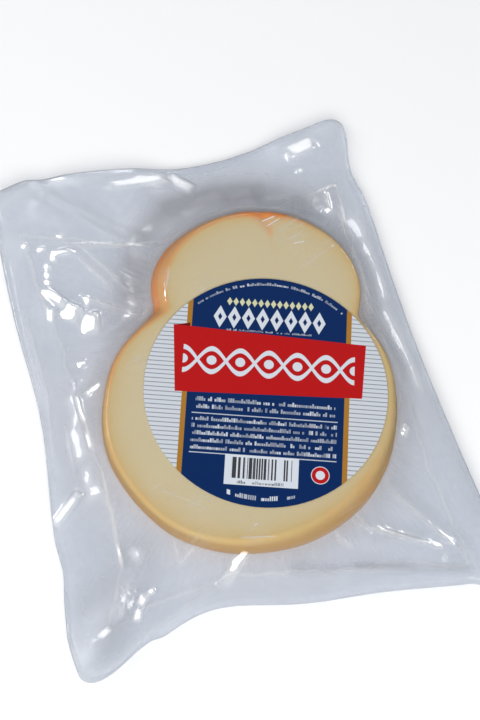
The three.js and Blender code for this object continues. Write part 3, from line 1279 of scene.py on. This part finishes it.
    def build(self, pack: Pack, cheese: Cheese, studio: Studio) -> bpy.types.Object:
        """Makes the piece.

        Args:
            pack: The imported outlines.
            cheese: What the film clings to.
            studio: The lamps and the eye, which set how the facets lie.

        Returns:
            The finished piece, in place of the solid.
        """
        points, marks = self._half(pack, cheese, Web.TOP)
        self._press(points, marks, pack, studio)
        back_points, back_marks = self._half(pack, cheese, Web.BACK)
        rings = np.concatenate([points, back_points[::-1]])
        marks = {name: np.concatenate([marks[name], back_marks[name][::-1]]) for name in marks}
        piece = ring_mesh("film", pack.metres(rings), marks)
        piece = Pleats().apply(piece, self.finish.material())
        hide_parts(Node.POUCH.value)
        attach(piece, "root")
        return piece

    def sheet(self, points: np.ndarray) -> np.ndarray:
        """Height of the middle of the sheet where it lies free."""
        raised = sum(f.at(points) for f in self.folds)
        return np.maximum(self.sheet_height + raised, self.lowest)

    def sealed(self, points: np.ndarray) -> np.ndarray:
        """How far points lie outside the pocket, seen from above.

        Args:
            points: The points, in millimetres.

        Returns:
            The distance to the pocket's outline, below 0 inside it.
        """
        corners = list(self.pocket)
        nearest = np.full(points.shape[:-1], np.inf)
        inside = np.zeros(points.shape[:-1], bool)
        for start, end in zip(corners, corners[1:] + corners[:1]):
            offset, _ = off_line(points, start, end)
            nearest = np.minimum(nearest, np.abs(offset))
            crosses = (start[1] > points[..., 1]) != (end[1] > points[..., 1])
            rise = (end[1] - start[1]) or 1e-9
            at = start[0] + (points[..., 1] - start[1]) * (end[0] - start[0]) / rise
            inside ^= crosses & (points[..., 0] < at)
        return np.where(inside, -nearest, nearest)

    def _press(
        self, points: np.ndarray, marks: dict[str, np.ndarray], pack: Pack, studio: Studio
    ) -> None:
        """Presses the facets into the top web where it has left the cheese. Its cut edge stays.

        Args:
            points: The web's rings, which are changed.
            marks: Its attributes, of which `pressed` is changed.
            pack: Where the drawing lies.
            studio: The lamps and the eye.
        """
        sheet = marks["sheaf"][..., 2].min(axis=1) > 0
        tilted = points[sheet]
        pressed = np.zeros(tilted.shape[:2])
        for facet in self.facets:
            share = facet.press(tilted, studio.mirror_slope(pack, facet.place, facet.shine))
            pressed = np.maximum(pressed, share)
        tilted[-1] = points[-1]
        points[sheet] = tilted
        marks["pressed"][sheet] = pressed

    def _bridged(self, pack: Pack, radius: np.ndarray) -> np.ndarray:
        """Bridges the waist's notches, as taut film does.

        Args:
            pack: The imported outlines.
            radius: The radius on each ray.

        Returns:
            The new radius, nowhere smaller.
        """
        ring = pack.point(radius, 0.0)
        reach = int(round(self.bridge / span(np.roll(ring, -1, axis=0), ring).mean()))
        window = np.hanning(2 * reach + 1)
        window /= window.sum()
        padded = np.concatenate([radius[-reach:], radius, radius[:reach]])
        return np.maximum(radius, np.convolve(padded, window, "valid"))

    def _held(self, pack: Pack, cheese: Cheese, web: Web) -> list[np.ndarray]:
        """The part of a web that lies on the cheese.

        Args:
            pack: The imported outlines.
            cheese: What the film clings to.
            web: Which web.

        Returns:
            Its rings, from the middle to where the web leaves the rind.
        """
        rim_foot = pack.thickness - cheese.rounding
        if web is Web.TOP:
            rings = cheese.face_rings(pack, pack.thickness + self.gap)
            heights = [*cheese.rim_heights(pack, self.rim_rings), self.side_height, self.leaves_at]
        else:
            rings = [pack.point(pack.face * share, self.sole_height) for share in self.sole_rings]
            heights = [self.sole_height, *self.under_heights, self.meets_at]
        for height in heights:
            clear = self.gap * min(1.0, height)
            over = self.gap * max(height - rim_foot, 0.0) / cheese.rounding
            radius = self._bridged(pack, cheese.rind(pack, height) + clear)
            rings.append(pack.point(radius, height + (over if web is Web.TOP else 0.0)))
        return rings

    def _half(self, pack: Pack, cheese: Cheese, web: Web) -> tuple[np.ndarray, dict[str, np.ndarray]]:
        """One web, from its middle out to the cut edge.

        Args:
            pack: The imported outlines.
            cheese: What the film clings to.
            web: Which web.

        Returns:
            Its rings, in millimetres, and their attributes.
        """
        rings = self._held(pack, cheese, web)
        start, edge = rings[-1], pack.point(pack.edge, 0.0)
        reach = span(edge, start)
        read_at = np.stack([start[:, 0], start[:, 1], np.full(len(start), 3.0)], axis=1)
        ruffle = 1.0 + self.ruffle * wander(read_at, 9.0, 5.0)
        lowest = self.top_floor if web is Web.TOP else self.back_floor
        count = self.top_rings if web is Web.TOP else self.back_rings
        away_rows = [np.zeros(len(start))] * len(rings)
        for share in (np.arange(1, count + 1) / count) ** self.crowding:
            flat = start + (edge - start) * share
            away = reach * share
            tent = np.clip(1 - away / np.minimum(self.tent_width * ruffle, 0.8 * reach), 0.0, 1.0) ** 2
            wrinkled = self.sheet(flat) + self._wrinkles(flat, web)
            middle = wrinkled + ((self.leaves_at + self.meets_at) / 2 - wrinkled) * tent
            opening = (self.leaves_at - self.meets_at) / 2
            half = self.half_thickness + (opening - self.half_thickness) * tent
            flat[:, 2] = np.maximum(middle + web.value * half, lowest)
            rings.append(flat)
            away_rows.append(away)
        points, away = np.array(rings), np.array(away_rows)
        if web is Web.BACK:
            points, away = points[:-1], away[:-1]
        return points, self._marks(pack, web, points, away, reach - away)

    def _marks(
        self, pack: Pack, web: Web, points: np.ndarray, away: np.ndarray, to_edge: np.ndarray
    ) -> dict[str, np.ndarray]:
        """The attributes of a web.

        Args:
            pack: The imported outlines.
            web: Which web.
            points: Its rings.
            away: How far each point lies from where the web leaves the rind, along its ray.
            to_edge: How far it lies from the cut edge.

        Returns:
            The attributes by name. `sheaf` goes once round the cheese in its X and Y, and its Z is `away`.
        """
        top = web is Web.TOP
        flat = points * (1.0, 1.0, 0.0)
        seal = soft_step(self.sealed(points) + 1.6 * wander(flat, 7.0, 3.5), -0.7, 0.9)
        creased = sum(np.abs(c.at(points)) / c.amount for c in self.creases)
        # Painted shade, kept off the film that lies on the cheese.
        shade = np.max([s.at(points) for s in self.shades], axis=0) * soft_step(away, 0.0, 4.0)
        round_about = [self.sheaf_radius * turn(pack.angles) for turn in (np.cos, np.sin)]
        return {
            "cling": 1.0 - soft_step(away, 0.0, 3.5),
            "seal": seal,
            "crease": np.clip(creased, 0.0, 1.0) * (1.0 - 0.5 * seal),
            "free": (1.0 - seal) * soft_step(away, 0.5, 5.0) * (1.0 if top else 0.4),
            "pressed": np.zeros(away.shape),
            "shade": shade * (1.0 if top else 0.0),
            "rumple": sum(r.at(points) for r in self.rumples),
            # Where the painted edge shade lies: the last few millimetres before the cut edge.
            "brim": 1.0 - soft_step(to_edge + 1.2 * wander(flat, 14.0, 8.5), 1.0, 5.0),
            "sheaf": np.stack([*(np.broadcast_to(r, away.shape) for r in round_about), away], axis=2),
        }

    def _wrinkles(self, points: np.ndarray, web: Web) -> np.ndarray:
        """The sharp wrinkles of a web, and the waves of the free sheet.

        Args:
            points: Points of the web.
            web: Which web. The wrinkles are in the top one alone.

        Returns:
            How far they lift each point, in millimetres.
        """
        flat = points.copy()
        flat[:, 2] = 0.0
        waves = self.long_wave * wander(flat, 24.0, 1.5) + self.short_wave * wander(flat, 9.0, 7.5)
        if web is Web.BACK:
            return waves
        inside = 1.0 - 0.8 * soft_step(self.sealed(points), -0.6, 2.0)
        return waves + inside * sum(c.at(points) for c in self.creases)


@dataclass(frozen=True)
class Pleats:
    """Pleats that run away from the rind, and crumpled facets, by Geometry Nodes on the film's attributes.

    `slimness` is how much longer than its pitch a pleat's pattern is, and `breaks` sets how often pleats
    stop. `small_count` smaller facets go along each larger one, and have `small_height` of its height.
    """

    height: float = 0.42
    pitch: float = 4.2
    length: float = 16.0
    facet_height: float = 1.9
    facet_pitch: float = 8.5
    seed: float = 11.0
    slimness: float = 9.0
    breaks: float = 0.16
    warp: float = 6.0
    small_count: float = 2.3
    small_height: float = 0.4
    least_rumple: float = 0.06

    def apply(self, piece: bpy.types.Object, film: bpy.types.Material) -> bpy.types.Object:
        """Pleats a piece.

        Args:
            piece: The film, with the attributes `free`, `rumple` and `sheaf`.
            film: Its material.

        Returns:
            The same piece, with a plain mesh.
        """
        values = {
            "Pleat height": self.height,
            "Pleat pitch": self.pitch,
            "Pleat length": self.length,
            "Facet height": self.facet_height,
            "Facet pitch": self.facet_pitch,
            "Seed": self.seed,
        }
        group = new_group("pleats", "Skin", values)
        self._fill(Nodes(group))
        return run_nodes(piece, group, {**values, "Film": film})

    def _fill(self, tree: Nodes) -> None:
        """Builds the tree: ridged noise along the sheaf's length, and the flat facets of a cracked pattern.

        Args:
            tree: The tree, with its inputs.
        """
        x, y, away = tree.parts(tree.named("sheaf", "FLOAT_VECTOR"))
        pitch, seed = tree.given("Pleat pitch"), tree.given("Seed")
        lines = tree.vector(x / pitch, y / pitch, away / (pitch * self.slimness))
        pleat = tree.grain(lines, 1.0, 1.0, seed)
        stretch = tree.grain(lines, self.breaks, 0.0, seed + 5.0).rise(0.42, 0.62)
        ridge = (1.0 - abs(pleat * 2.0 - 1.0) * 2.2).most(0.0) ** 2.0
        fade = (-(away / tree.given("Pleat length"))).maths("EXPONENT")
        where = tree.scaled(tree.add("GeometryNodeInputPosition"), (1 / MM,) * 3)
        shifted = tree.vector(tree.grain(where, 0.08, 1.0, seed) * self.warp, seed, 0.0)
        moved = tree.add("ShaderNodeVectorMath", {"operation": "ADD"}, {0: where, 1: shifted})
        flat = tree.scaled(moved, (1.0, 1.0, 0.0))
        facet_pitch = tree.given("Facet pitch")
        large, small = (tree.cells(flat, share / facet_pitch) for share in (1.0, self.small_count))
        facets = large + small * self.small_height
        rumple = tree.named("rumple") + self.least_rumple
        lift = ridge * fade * stretch * tree.given("Pleat height")
        lift = lift + facets * rumple * tree.given("Facet height")
        offset = tree.vector(0.0, 0.0, lift * tree.named("free") * MM)
        skin = tree.add("GeometryNodeSetPosition", None, {"Geometry": tree.given("Skin"), "Offset": offset})
        tree.finish("Skin", skin)


class Nodes(Tree):
    """A Geometry Nodes tree."""

    def __init__(self, tree: bpy.types.NodeTree) -> None:
        """Wraps `tree`, with its inputs at hand."""
        super().__init__(tree)
        self.inputs = self.add("NodeGroupInput").socket.node.outputs

    def given(self, name: str) -> Wire:
        """One of the tree's inputs."""
        return Wire(self, self.inputs[name])

    def named(self, name: str, kind: str = "FLOAT") -> Wire:
        """One of the mesh's attributes."""
        return self.add("GeometryNodeInputNamedAttribute", {"data_type": kind}, {"Name": name}, "Attribute")

    def finish(self, name: str, geometry: Wire) -> None:
        """Ends the tree with plain geometry in the material that the input `Film` names.

        Args:
            name: The name of the tree's output.
            geometry: What comes out of it.
        """
        plain = self.add("GeometryNodeRealizeInstances", None, {"Geometry": geometry})
        film = self.given("Film")
        dressed = self.add("GeometryNodeSetMaterial", None, {"Geometry": plain, "Material": film})
        self.add("NodeGroupOutput", None, {name: dressed})


def new_group(name: str, geometry: str, values: dict[str, float]) -> bpy.types.NodeTree:
    """An empty Geometry Nodes tree.

    Args:
        name: Its name.
        geometry: The name of the geometry that goes in and comes out.
        values: The number inputs, by name.

    Returns:
        The tree, which also has a material input called `Film`.
    """
    group = bpy.data.node_groups.new(name, "GeometryNodeTree")
    group.interface.new_socket(geometry, in_out="INPUT", socket_type="NodeSocketGeometry")
    for value in values:
        group.interface.new_socket(value, in_out="INPUT", socket_type="NodeSocketFloat")
    group.interface.new_socket("Film", in_out="INPUT", socket_type="NodeSocketMaterial")
    group.interface.new_socket(geometry, in_out="OUTPUT", socket_type="NodeSocketGeometry")
    return group


def run_nodes(
    piece: bpy.types.Object, group: bpy.types.NodeTree, values: dict[str, object]
) -> bpy.types.Object:
    """Runs a Geometry Nodes tree on a piece and keeps the result as its mesh.

    Args:
        piece: The piece.
        group: The tree.
        values: Values of the tree's inputs, by name.

    Returns:
        The piece, with a plain mesh and no modifier.
    """
    modifier = piece.modifiers.new(group.name, "NODES")
    modifier.node_group = group
    sockets = {s.name: s.identifier for s in group.interface.items_tree if s.in_out == "INPUT"}
    for name, value in values.items():
        modifier[sockets[name]] = value
    graph = bpy.context.evaluated_depsgraph_get()
    mesh = bpy.data.meshes.new_from_object(piece.evaluated_get(graph), depsgraph=graph)
    piece.modifiers.clear()
    piece.data = mesh
    mesh.name = piece.name
    return piece


# ---- The label -----------------------------------------------------------------------------------


@dataclass(frozen=True)
class Edge:
    """A straight edge on the label, which has `height` at the place `where` and rises by `slope`."""

    height: float
    slope: float
    where: float = 0.0

    def at(self, place: Wire) -> Wire:
        """Its height at a place along it."""
        return self.height + self.slope * (place - self.where)


@dataclass(frozen=True)
class Lozenges:
    """A row of lozenges on the label. `half` is half the width and the height of each."""

    middle: Place
    half: Place
    pitch: float
    count: int
    colour: Colour

    def mask(self, x: Wire, y: Wire, soft: float) -> Wire:
        """Where they are.

        Args:
            x: The label's own X, in millimetres.
            y: The label's own Y.
            soft: How soft their edges are.

        Returns:
            A value from 0 to 1.
        """
        row = (x - self.middle[0] + self.pitch * self.count / 2) / self.pitch
        across = abs(row.maths("FRACT") - 0.5) * (self.pitch / self.half[0])
        away = across + abs(y - self.middle[1]) * (1 / self.half[1])
        inside = row.rise(-0.01, 0.01) * row.fall(self.count - 0.01, self.count + 0.01)
        edge = soft / self.half[0]
        return away.fall(1.0 - edge, 1.0 + edge) * inside


@dataclass(frozen=True)
class Block:
    """Lines of small marks on the label, between two heights and as wide as `half` to each side."""

    low: float
    high: float
    lines: int
    half: float


@dataclass(frozen=True)
class Print:
    """The label's print, all plain shapes on the label's own axes, in millimetres.

    On a ground with pinstripes stands a panel with gilt edges. On it are a tapered band with a twist of two
    waves, rows of lozenges, rules, lines of small marks, a white patch with bars, and a ringed disc.
    """

    ground: Colour = (0.58, 0.61, 0.66)
    stripe: Colour = (0.16, 0.165, 0.18)
    panel: Colour = (0.0006, 0.019, 0.096)
    gilt: Colour = (0.36, 0.17, 0.025)
    band: Colour = (0.44, 0.006, 0.007)
    shaded_band: Colour = (0.12, 0.003, 0.004)
    white: Colour = (0.62, 0.66, 0.72)
    cream: Colour = (0.60, 0.60, 0.38)
    ink: Colour = (0.012, 0.012, 0.016)
    roughness: float = 0.30
    panel_half: float = 32.6
    gilt_width: float = 2.1
    stripe_pitch: float = 1.92
    soft: float = 0.12
    band_top: Edge = Edge(24.85, -0.0437)
    band_foot: Edge = Edge(-2.2, 0.0306)
    band_left: Edge = Edge(-37.8, -0.083, -3.4)
    band_right: Edge = Edge(40.1, 0.045)
    corner_top: Edge = Edge(27.9, 0.21, -33.4)
    corner_foot: Edge = Edge(24.4, -0.28, -33.2)
    corner_sides: Place = (-40.4, -33.2)
    twist_middle: float = 0.6
    twist_length: float = 24.0
    twist_height: float = 5.2
    twist_half: float = 36.0
    lozenges: tuple[Lozenges, ...] = (
        Lozenges((0.0, 31.7), (2.75, 5.1), 6.0, 8, white),
        Lozenges((0.0, 31.7), (0.9, 1.7), 6.0, 8, panel),
        Lozenges((0.0, 39.0), (1.15, 1.9), 2.66, 14, cream),
    )
    thin_foot: float = 25.2
    thin_height: float = 1.5
    rules: tuple[float, ...] = (-12.2, -29.3)
    rule_half: Place = (30.2, 0.2)
    blocks: tuple[Block, ...] = (Block(-10.9, -4.3, 2, 29.0), Block(-28.6, -13.0, 5, 30.0))
    block_mark: float = 0.92
    patch: tuple[Place, Place] = ((-0.2, -35.6), (15.1, 6.4))
    bars: tuple[Place, Place] = ((-0.2, -34.7), (12.4, 4.5))
    bar_width: float = 0.34
    ticks: tuple[Place, Place] = ((0.0, -40.7), (10.0, 1.0))
    disc_middle: Place = (23.8, -35.6)
    disc_rings: tuple[tuple[float, Colour], ...] = ((3.8, white), (3.5, band), (1.9, white))
    upper_arc: float = 47.0
    lower_arc: float = 45.6

    def material(self, pack: Pack) -> bpy.types.Material:
        """Builds the material on the label's own axes.

        Args:
            pack: Where the drawing lies.

        Returns:
            The material.
        """
        paint = Paint("label_print")
        centre = (pack.shift[:2] + LABEL_PLACE) * MM
        moved = paint.add("ShaderNodeMapping", {"vector_type": "TEXTURE"}, {
            "Vector": paint.place(),
            "Location": (centre[0], centre[1], 0.0),
            "Rotation": (0.0, 0.0, LABEL_TURN),
            "Scale": (MM, MM, MM),
        })
        x, y, _ = paint.parts(moved)
        look = self._grounds(paint, x, y)
        for layer in (self._band, self._rows, self._lozenge_rows, self._patch, self._disc, self._arcs):
            look = layer(paint, look, x, y)
        shader = paint.add("ShaderNodeBsdfPrincipled", None, {
            "Base Color": look,
            "Roughness": self.roughness + 0.06 * paint.grain(moved, 0.6, 3.0, 4.0),
            "Specular IOR Level": 0.15,
            "Normal": paint.bump(paint.grain(moved, 0.12, 2.0, 2.0), 0.2 * MM, 0.2),
        })
        return paint.surface(shader)

    def box(self, x: Wire, y: Wire, middle: Place, half: Place) -> Wire:
        """A filled box."""
        wide = abs(x - middle[0]).fall(half[0] - self.soft, half[0] + self.soft)
        return wide * abs(y - middle[1]).fall(half[1] - self.soft, half[1] + self.soft)

    def disc(self, x: Wire, y: Wire, middle: Place, radius: float) -> Wire:
        """A filled disc."""
        away = ((x - middle[0]) ** 2.0 + (y - middle[1]) ** 2.0) ** 0.5
        return away.fall(radius - self.soft, radius + self.soft)

    def small_marks(self, paint: Paint, along: Wire, level: Wire, row: Wire | float, width: float) -> Wire:
        """A line of small plain marks in groups, which are not letters.

        Args:
            paint: The material's tree.
            along: The place along the line, in millimetres.
            level: The place across the line, from 0 to 1.
            row: Which line it is.
            width: The width of a mark with its gap.

        Returns:
            The mask, from 0 to 1.
        """
        cell = (along / width).maths("FLOOR")
        within = abs((along / width).maths("FRACT") - 0.5)
        shown = paint.toss(paint.vector(cell, row, 1.0)).rise(0.15, 0.17)
        tall = paint.toss(paint.vector(cell, row, 7.0)).rise(0.6, 0.65)
        mark = shown * within.fall(0.34, 0.46)
        hollow = within.fall(0.10, 0.20) * paint.toss(paint.vector(cell, row, 4.0)).rise(0.45, 0.5)
        upright = level.rise(0.20, 0.28) * (0.62 + 0.22 * tall - level).rise(0.0, 0.08)
        bold = paint.grain(paint.vector(along / 9.0, row * 3.7, 0.0), 1.0, 0.0, 3.0).rise(0.5, 0.55)
        return mark * (1.0 - 0.7 * hollow) * upright * (0.62 + 0.38 * bold)

    def _grounds(self, paint: Paint, x: Wire, y: Wire) -> Wire:
        """The striped ground, and the panel with its gilt edges.

        Args:
            paint: The material's tree.
            x: The label's own X.
            y: The label's own Y.

        Returns:
            The colour.
        """
        tooth = y.maths("PINGPONG", self.stripe_pitch / 2)
        look = paint.blend(tooth.fall(0.10, 0.30) * 0.8, self.ground, self.stripe)
        off = abs(x)
        edge = self.panel_half + self.gilt_width
        look = paint.blend(off.fall(edge, edge + 0.2), look, self.gilt)
        return paint.blend(off.fall(self.panel_half, self.panel_half + 0.2), look, self.panel)

    def _band(self, paint: Paint, look: Wire, x: Wire, y: Wire) -> Wire:
        """Adds the tapered band, its turned corner, and a twist of two waves with a dot in each eye.

        Args:
            paint: The material's tree.
            look: The colour so far.
            x: The label's own X.
            y: The label's own Y.

        Returns:
            The new colour.
        """
        corner = (y - self.corner_foot.at(x)).rise(0.0, 0.2) * (self.corner_top.at(x) - y).rise(0.0, 0.2)
        left, right = self.corner_sides
        corner = corner * (right - x).rise(0.0, 0.2) * (x - left).rise(0.0, 0.2)
        look = paint.blend(corner, look, self.shaded_band)
        top, foot = self.band_top.at(x), self.band_foot.at(x)
        ribbon = (top - y).rise(-0.1, 0.1) * (y - foot).rise(-0.1, 0.1)
        for inside in (x - self.band_left.at(y), self.band_right.at(y) - x):
            ribbon = ribbon * inside.rise(-0.1, 0.1)
        look = paint.blend(ribbon, look, self.band)
        place, level = x - self.twist_middle, y - (top + foot) * 0.5
        swing = (place * (math.tau / self.twist_length)).maths("COSINE") * self.twist_height
        wave = abs(level - swing).fall(0.95, 1.25).most(abs(level + swing).fall(0.95, 1.25))
        eye = ((place.maths("PINGPONG", self.twist_length / 4) ** 2.0 + level**2.0) ** 0.5).fall(1.9, 2.2)
        inside = abs(place).fall(self.twist_half - 0.1, self.twist_half + 0.1)
        return paint.blend(wave.most(eye) * inside, look, self.white)

    def _rows(self, paint: Paint, look: Wire, x: Wire, y: Wire) -> Wire:
        """Adds the rules and the blocks of small marks.

        Args:
            paint: The material's tree.
            look: The colour so far.
            x: The label's own X.
            y: The label's own Y.

        Returns:
            The new colour.
        """
        for height in self.rules:
            look = paint.blend(self.box(x, y, (0.0, height), self.rule_half) * 0.8, look, self.white)
        for block in self.blocks:
            tall = block.high - block.low
            lines = (y - block.low) / (tall / block.lines)
            row = lines.maths("FLOOR") + block.low
            mask = self.small_marks(paint, x, lines.maths("FRACT"), row, self.block_mark)
            mask = mask * self.box(x, y, (0.0, (block.low + block.high) / 2), (block.half, tall / 2))
            look = paint.blend(mask * 0.85, look, self.white)
        return look

    def _lozenge_rows(self, paint: Paint, look: Wire, x: Wire, y: Wire) -> Wire:
        """Adds the rows of lozenges, and the thin line of marks under them.

        Args:
            paint: The material's tree.
            look: The colour so far.
            x: The label's own X.
            y: The label's own Y.

        Returns:
            The new colour.
        """
        for row in self.lozenges:
            look = paint.blend(row.mask(x, y, self.soft), look, row.colour)
        above = y - self.thin_foot
        thin = self.small_marks(paint, x, above / self.thin_height, 9.0, 0.8)
        thin = thin * abs(x).fall(17.8, 18.2) * above.rise(0.0, 0.1)
        return paint.blend(thin * 0.6, look, self.white)

    def _patch(self, paint: Paint, look: Wire, x: Wire, y: Wire) -> Wire:
        """Adds the white patch, its plain bars and the ticks under them.

        Args:
            paint: The material's tree.
            look: The colour so far.
            x: The label's own X.
            y: The label's own Y.

        Returns:
            The new colour.
        """
        look = paint.blend(self.box(x, y, *self.patch), look, self.white)
        bars = paint.toss((x / self.bar_width).maths("FLOOR")).rise(0.46, 0.48) * self.box(x, y, *self.bars)
        ticks = self.small_marks(paint, x, (y + 42.0) / 2.4, 6.0, 1.3) * self.box(x, y, *self.ticks)
        return paint.blend(bars.most(ticks) * 0.95, look, self.ink)

    def _disc(self, paint: Paint, look: Wire, x: Wire, y: Wire) -> Wire:
        """Adds the ringed disc, from its outside inwards.

        Args:
            paint: The material's tree.
            look: The colour so far.
            x: The label's own X.
            y: The label's own Y.

        Returns:
            The new colour.
        """
        for radius, colour in self.disc_rings:
            look = paint.blend(self.disc(x, y, self.disc_middle, radius), look, colour)
        return look

    def _arcs(self, paint: Paint, look: Wire, x: Wire, y: Wire) -> Wire:
        """Adds the two lines of marks that follow the label's edge.

        Args:
            paint: The material's tree.
            look: The colour so far.
            x: The label's own X.
            y: The label's own Y.

        Returns:
            The new colour.
        """
        away = (x**2.0 + y**2.0) ** 0.5
        turn = x.maths("ARCTAN2", y) * 48.0
        upper = self.small_marks(paint, turn, (away - self.upper_arc) / 2.3, 2.0, 1.05)
        upper = upper * abs(turn).fall(33.0, 33.5) * away.rise(self.upper_arc, self.upper_arc + 0.2)
        look = paint.blend(upper * y.rise(0.0, 1.0) * 0.8, look, self.white)
        lower = self.small_marks(paint, x, (48.9 - away) / 3.4, 5.0, 1.75)
        lower = lower * abs(x).fall(13.8, 14.2) * away.rise(self.lower_arc, self.lower_arc + 0.2)
        return paint.blend(lower * y.fall(-1.0, 0.0), look, self.white)


@dataclass
class Label:
    """The round label on the film. Its solid stays, and takes the print."""

    finish: Print = field(default_factory=Print)

    def dress(self, pack: Pack, solid: bpy.types.Object) -> bpy.types.Object:
        """Gives the solid its print.

        Args:
            pack: Where the drawing lies.
            solid: The label's solid.

        Returns:
            The same solid.
        """
        solid.data.materials.clear()
        solid.data.materials.append(self.finish.material(pack))
        return solid


# ---- The studio ----------------------------------------------------------------------------------


@dataclass(frozen=True)
class Lamp:
    """A soft light, aimed at the pack. Angles are in degrees, lengths in metres and the power in watts."""

    name: str
    azimuth: float
    elevation: float
    distance: float
    size: Place
    power: float
    lights: bool = True
    shows: bool = True

    @property
    def way(self) -> Vector:
        """The direction towards the light. Azimuth 0 is towards -Y and 90 towards +X."""
        a, e = math.radians(self.azimuth), math.radians(self.elevation)
        return Vector((math.sin(a) * math.cos(e), -math.cos(a) * math.cos(e), math.sin(e)))

    def build(self) -> bpy.types.Object:
        """Places the light.

        Returns:
            The light, which lights matt surfaces if it `lights` and is mirrored in gloss if it `shows`.
        """
        data = bpy.data.lights.new(self.name, "AREA")
        data.shape = "RECTANGLE"
        data.size, data.size_y = self.size
        data.energy = self.power
        lamp = bpy.data.objects.new(self.name, data)
        lamp.location = self.way * self.distance
        lamp.rotation_euler = self.way.to_track_quat("Z", "Y").to_euler()
        lamp.visible_diffuse = self.lights
        lamp.visible_glossy = self.shows
        bpy.context.scene.collection.objects.link(lamp)
        return lamp


@dataclass
class Studio:
    """The camera, the lights and the pale floor.

    `from_label` leads from the label's middle to the camera, in millimetres, and `turn` is in degrees.
    """

    lens: float = 78.0
    sensor: float = 36.0
    from_label: tuple[float, float, float] = (-100.8, -214.4, 602.4)
    turn: tuple[float, float, float] = (22.13, -3.37, -13.90)
    sight: float = 20.0
    web_height: float = 5.0
    ambient: float = 0.28
    ambient_colour: Colour = (0.93, 0.96, 1.0)
    floor_half: float = 3.0
    floor_colour: Colour = (0.965, 0.965, 0.97)
    floor_mottle: float = 0.98
    floor_roughness: float = 0.85
    lamps: tuple[Lamp, ...] = (
        Lamp("key", -16.0, 47.0, 2.4, (2.2, 1.5), 58.0, shows=False),
        Lamp("left_box", -105.0, 42.0, 1.5, (1.0, 0.8), 6.0, shows=False),
        Lamp("rear_glow", 180.0, 46.0, 1.5, (2.2, 0.6), 1.2, lights=False),
        Lamp("upper_left", 228.0, 56.0, 1.5, (0.42, 0.38), 6.5, lights=False),
        Lamp("upper_right", 129.0, 39.0, 1.5, (0.36, 0.32), 4.4, lights=False),
        Lamp("rear_low", 173.0, 28.0, 1.5, (0.5, 0.4), 3.0, lights=False),
    )

    def build(self) -> None:
        """Sets up everything that isn't the object."""
        self._camera()
        self._world()
        self._floor()
        for lamp in self.lamps:
            lamp.build()

    def mirror_slope(self, pack: Pack, place: Place, shine: Shine) -> np.ndarray:
        """The slope that a mirror needs to show a lamp to the eye.

        Args:
            pack: Where the drawing lies.
            place: Where the mirror is.
            shine: The lamp.

        Returns:
            The rise along X and along Y for each millimetre.
        """
        spot = Vector((*place, self.web_height))
        lamp = next(lamp for lamp in self.lamps if lamp.name == shine.value)
        source = lamp.way * (lamp.distance / MM) - Vector(pack.shift)
        eye = Vector((*LABEL_PLACE, pack.thickness)) + Vector(self.from_label)
        normal = (source - spot).normalized() + (eye - spot).normalized()
        return np.array([-normal.x / normal.z, -normal.y / normal.z])

    def _camera(self) -> None:
        """Places the camera where the photograph was taken from."""
        low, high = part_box(Node.LABEL.value)
        aim = Vector(((low.x + high.x) / 2, (low.y + high.y) / 2, high.z))
        data = bpy.data.cameras.new("camera")
        data.lens, data.sensor_width = self.lens, self.sensor
        data.clip_end = self.sight
        camera = bpy.data.objects.new("camera", data)
        camera.location = aim + Vector(self.from_label) * MM
        camera.rotation_euler = [math.radians(t) for t in self.turn]
        bpy.context.scene.collection.objects.link(camera)
        bpy.context.scene.camera = camera

    def _world(self) -> None:
        """A dim, even surrounding light, and plain colours in the picture."""
        world = bpy.data.worlds.new("studio")
        world.use_nodes = True
        background = world.node_tree.nodes["Background"]
        background.inputs["Color"].default_value = (*self.ambient_colour, 1.0)
        background.inputs["Strength"].default_value = self.ambient
        bpy.context.scene.world = world
        bpy.context.scene.view_settings.view_transform = "Standard"

    def _floor(self) -> None:
        """A wide pale plane under the pack."""
        half = self.floor_half
        mesh = bpy.data.meshes.new("floor")
        corners = [(-half, -half, 0.0), (half, -half, 0.0), (half, half, 0.0), (-half, half, 0.0)]
        mesh.from_pydata(corners, [], [(0, 1, 2, 3)])
        paint = Paint("floor")
        mottle = paint.grain(paint.place(), 3.0, 2.0, 1.0)
        shade = tuple(c * self.floor_mottle for c in self.floor_colour)
        mesh.materials.append(paint.surface(paint.add("ShaderNodeBsdfPrincipled", None, {
            "Base Color": paint.blend(mottle, self.floor_colour, shade),
            "Roughness": self.floor_roughness,
            "Specular IOR Level": 0.2,
        })))
        floor = bpy.data.objects.new("floor", mesh)
        bpy.context.scene.collection.objects.link(floor)


def main() -> None:
    """Builds the pack around its frame and reports each piece."""
    logging.basicConfig(level=logging.INFO, format="%(name)s: %(message)s")
    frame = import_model()
    pack = Pack.measure(frame["nodes"])
    studio = Studio()
    studio.build()
    cheese = Cheese()
    pieces = [
        cheese.build(pack),
        Film().build(pack, cheese, studio),
        Label().dress(pack, frame["nodes"][Node.LABEL.value]),
    ]
    for piece in pieces:
        log.info("%s: %d faces", piece.name, len(piece.data.polygons))


if __name__ == "__main__":
    main()
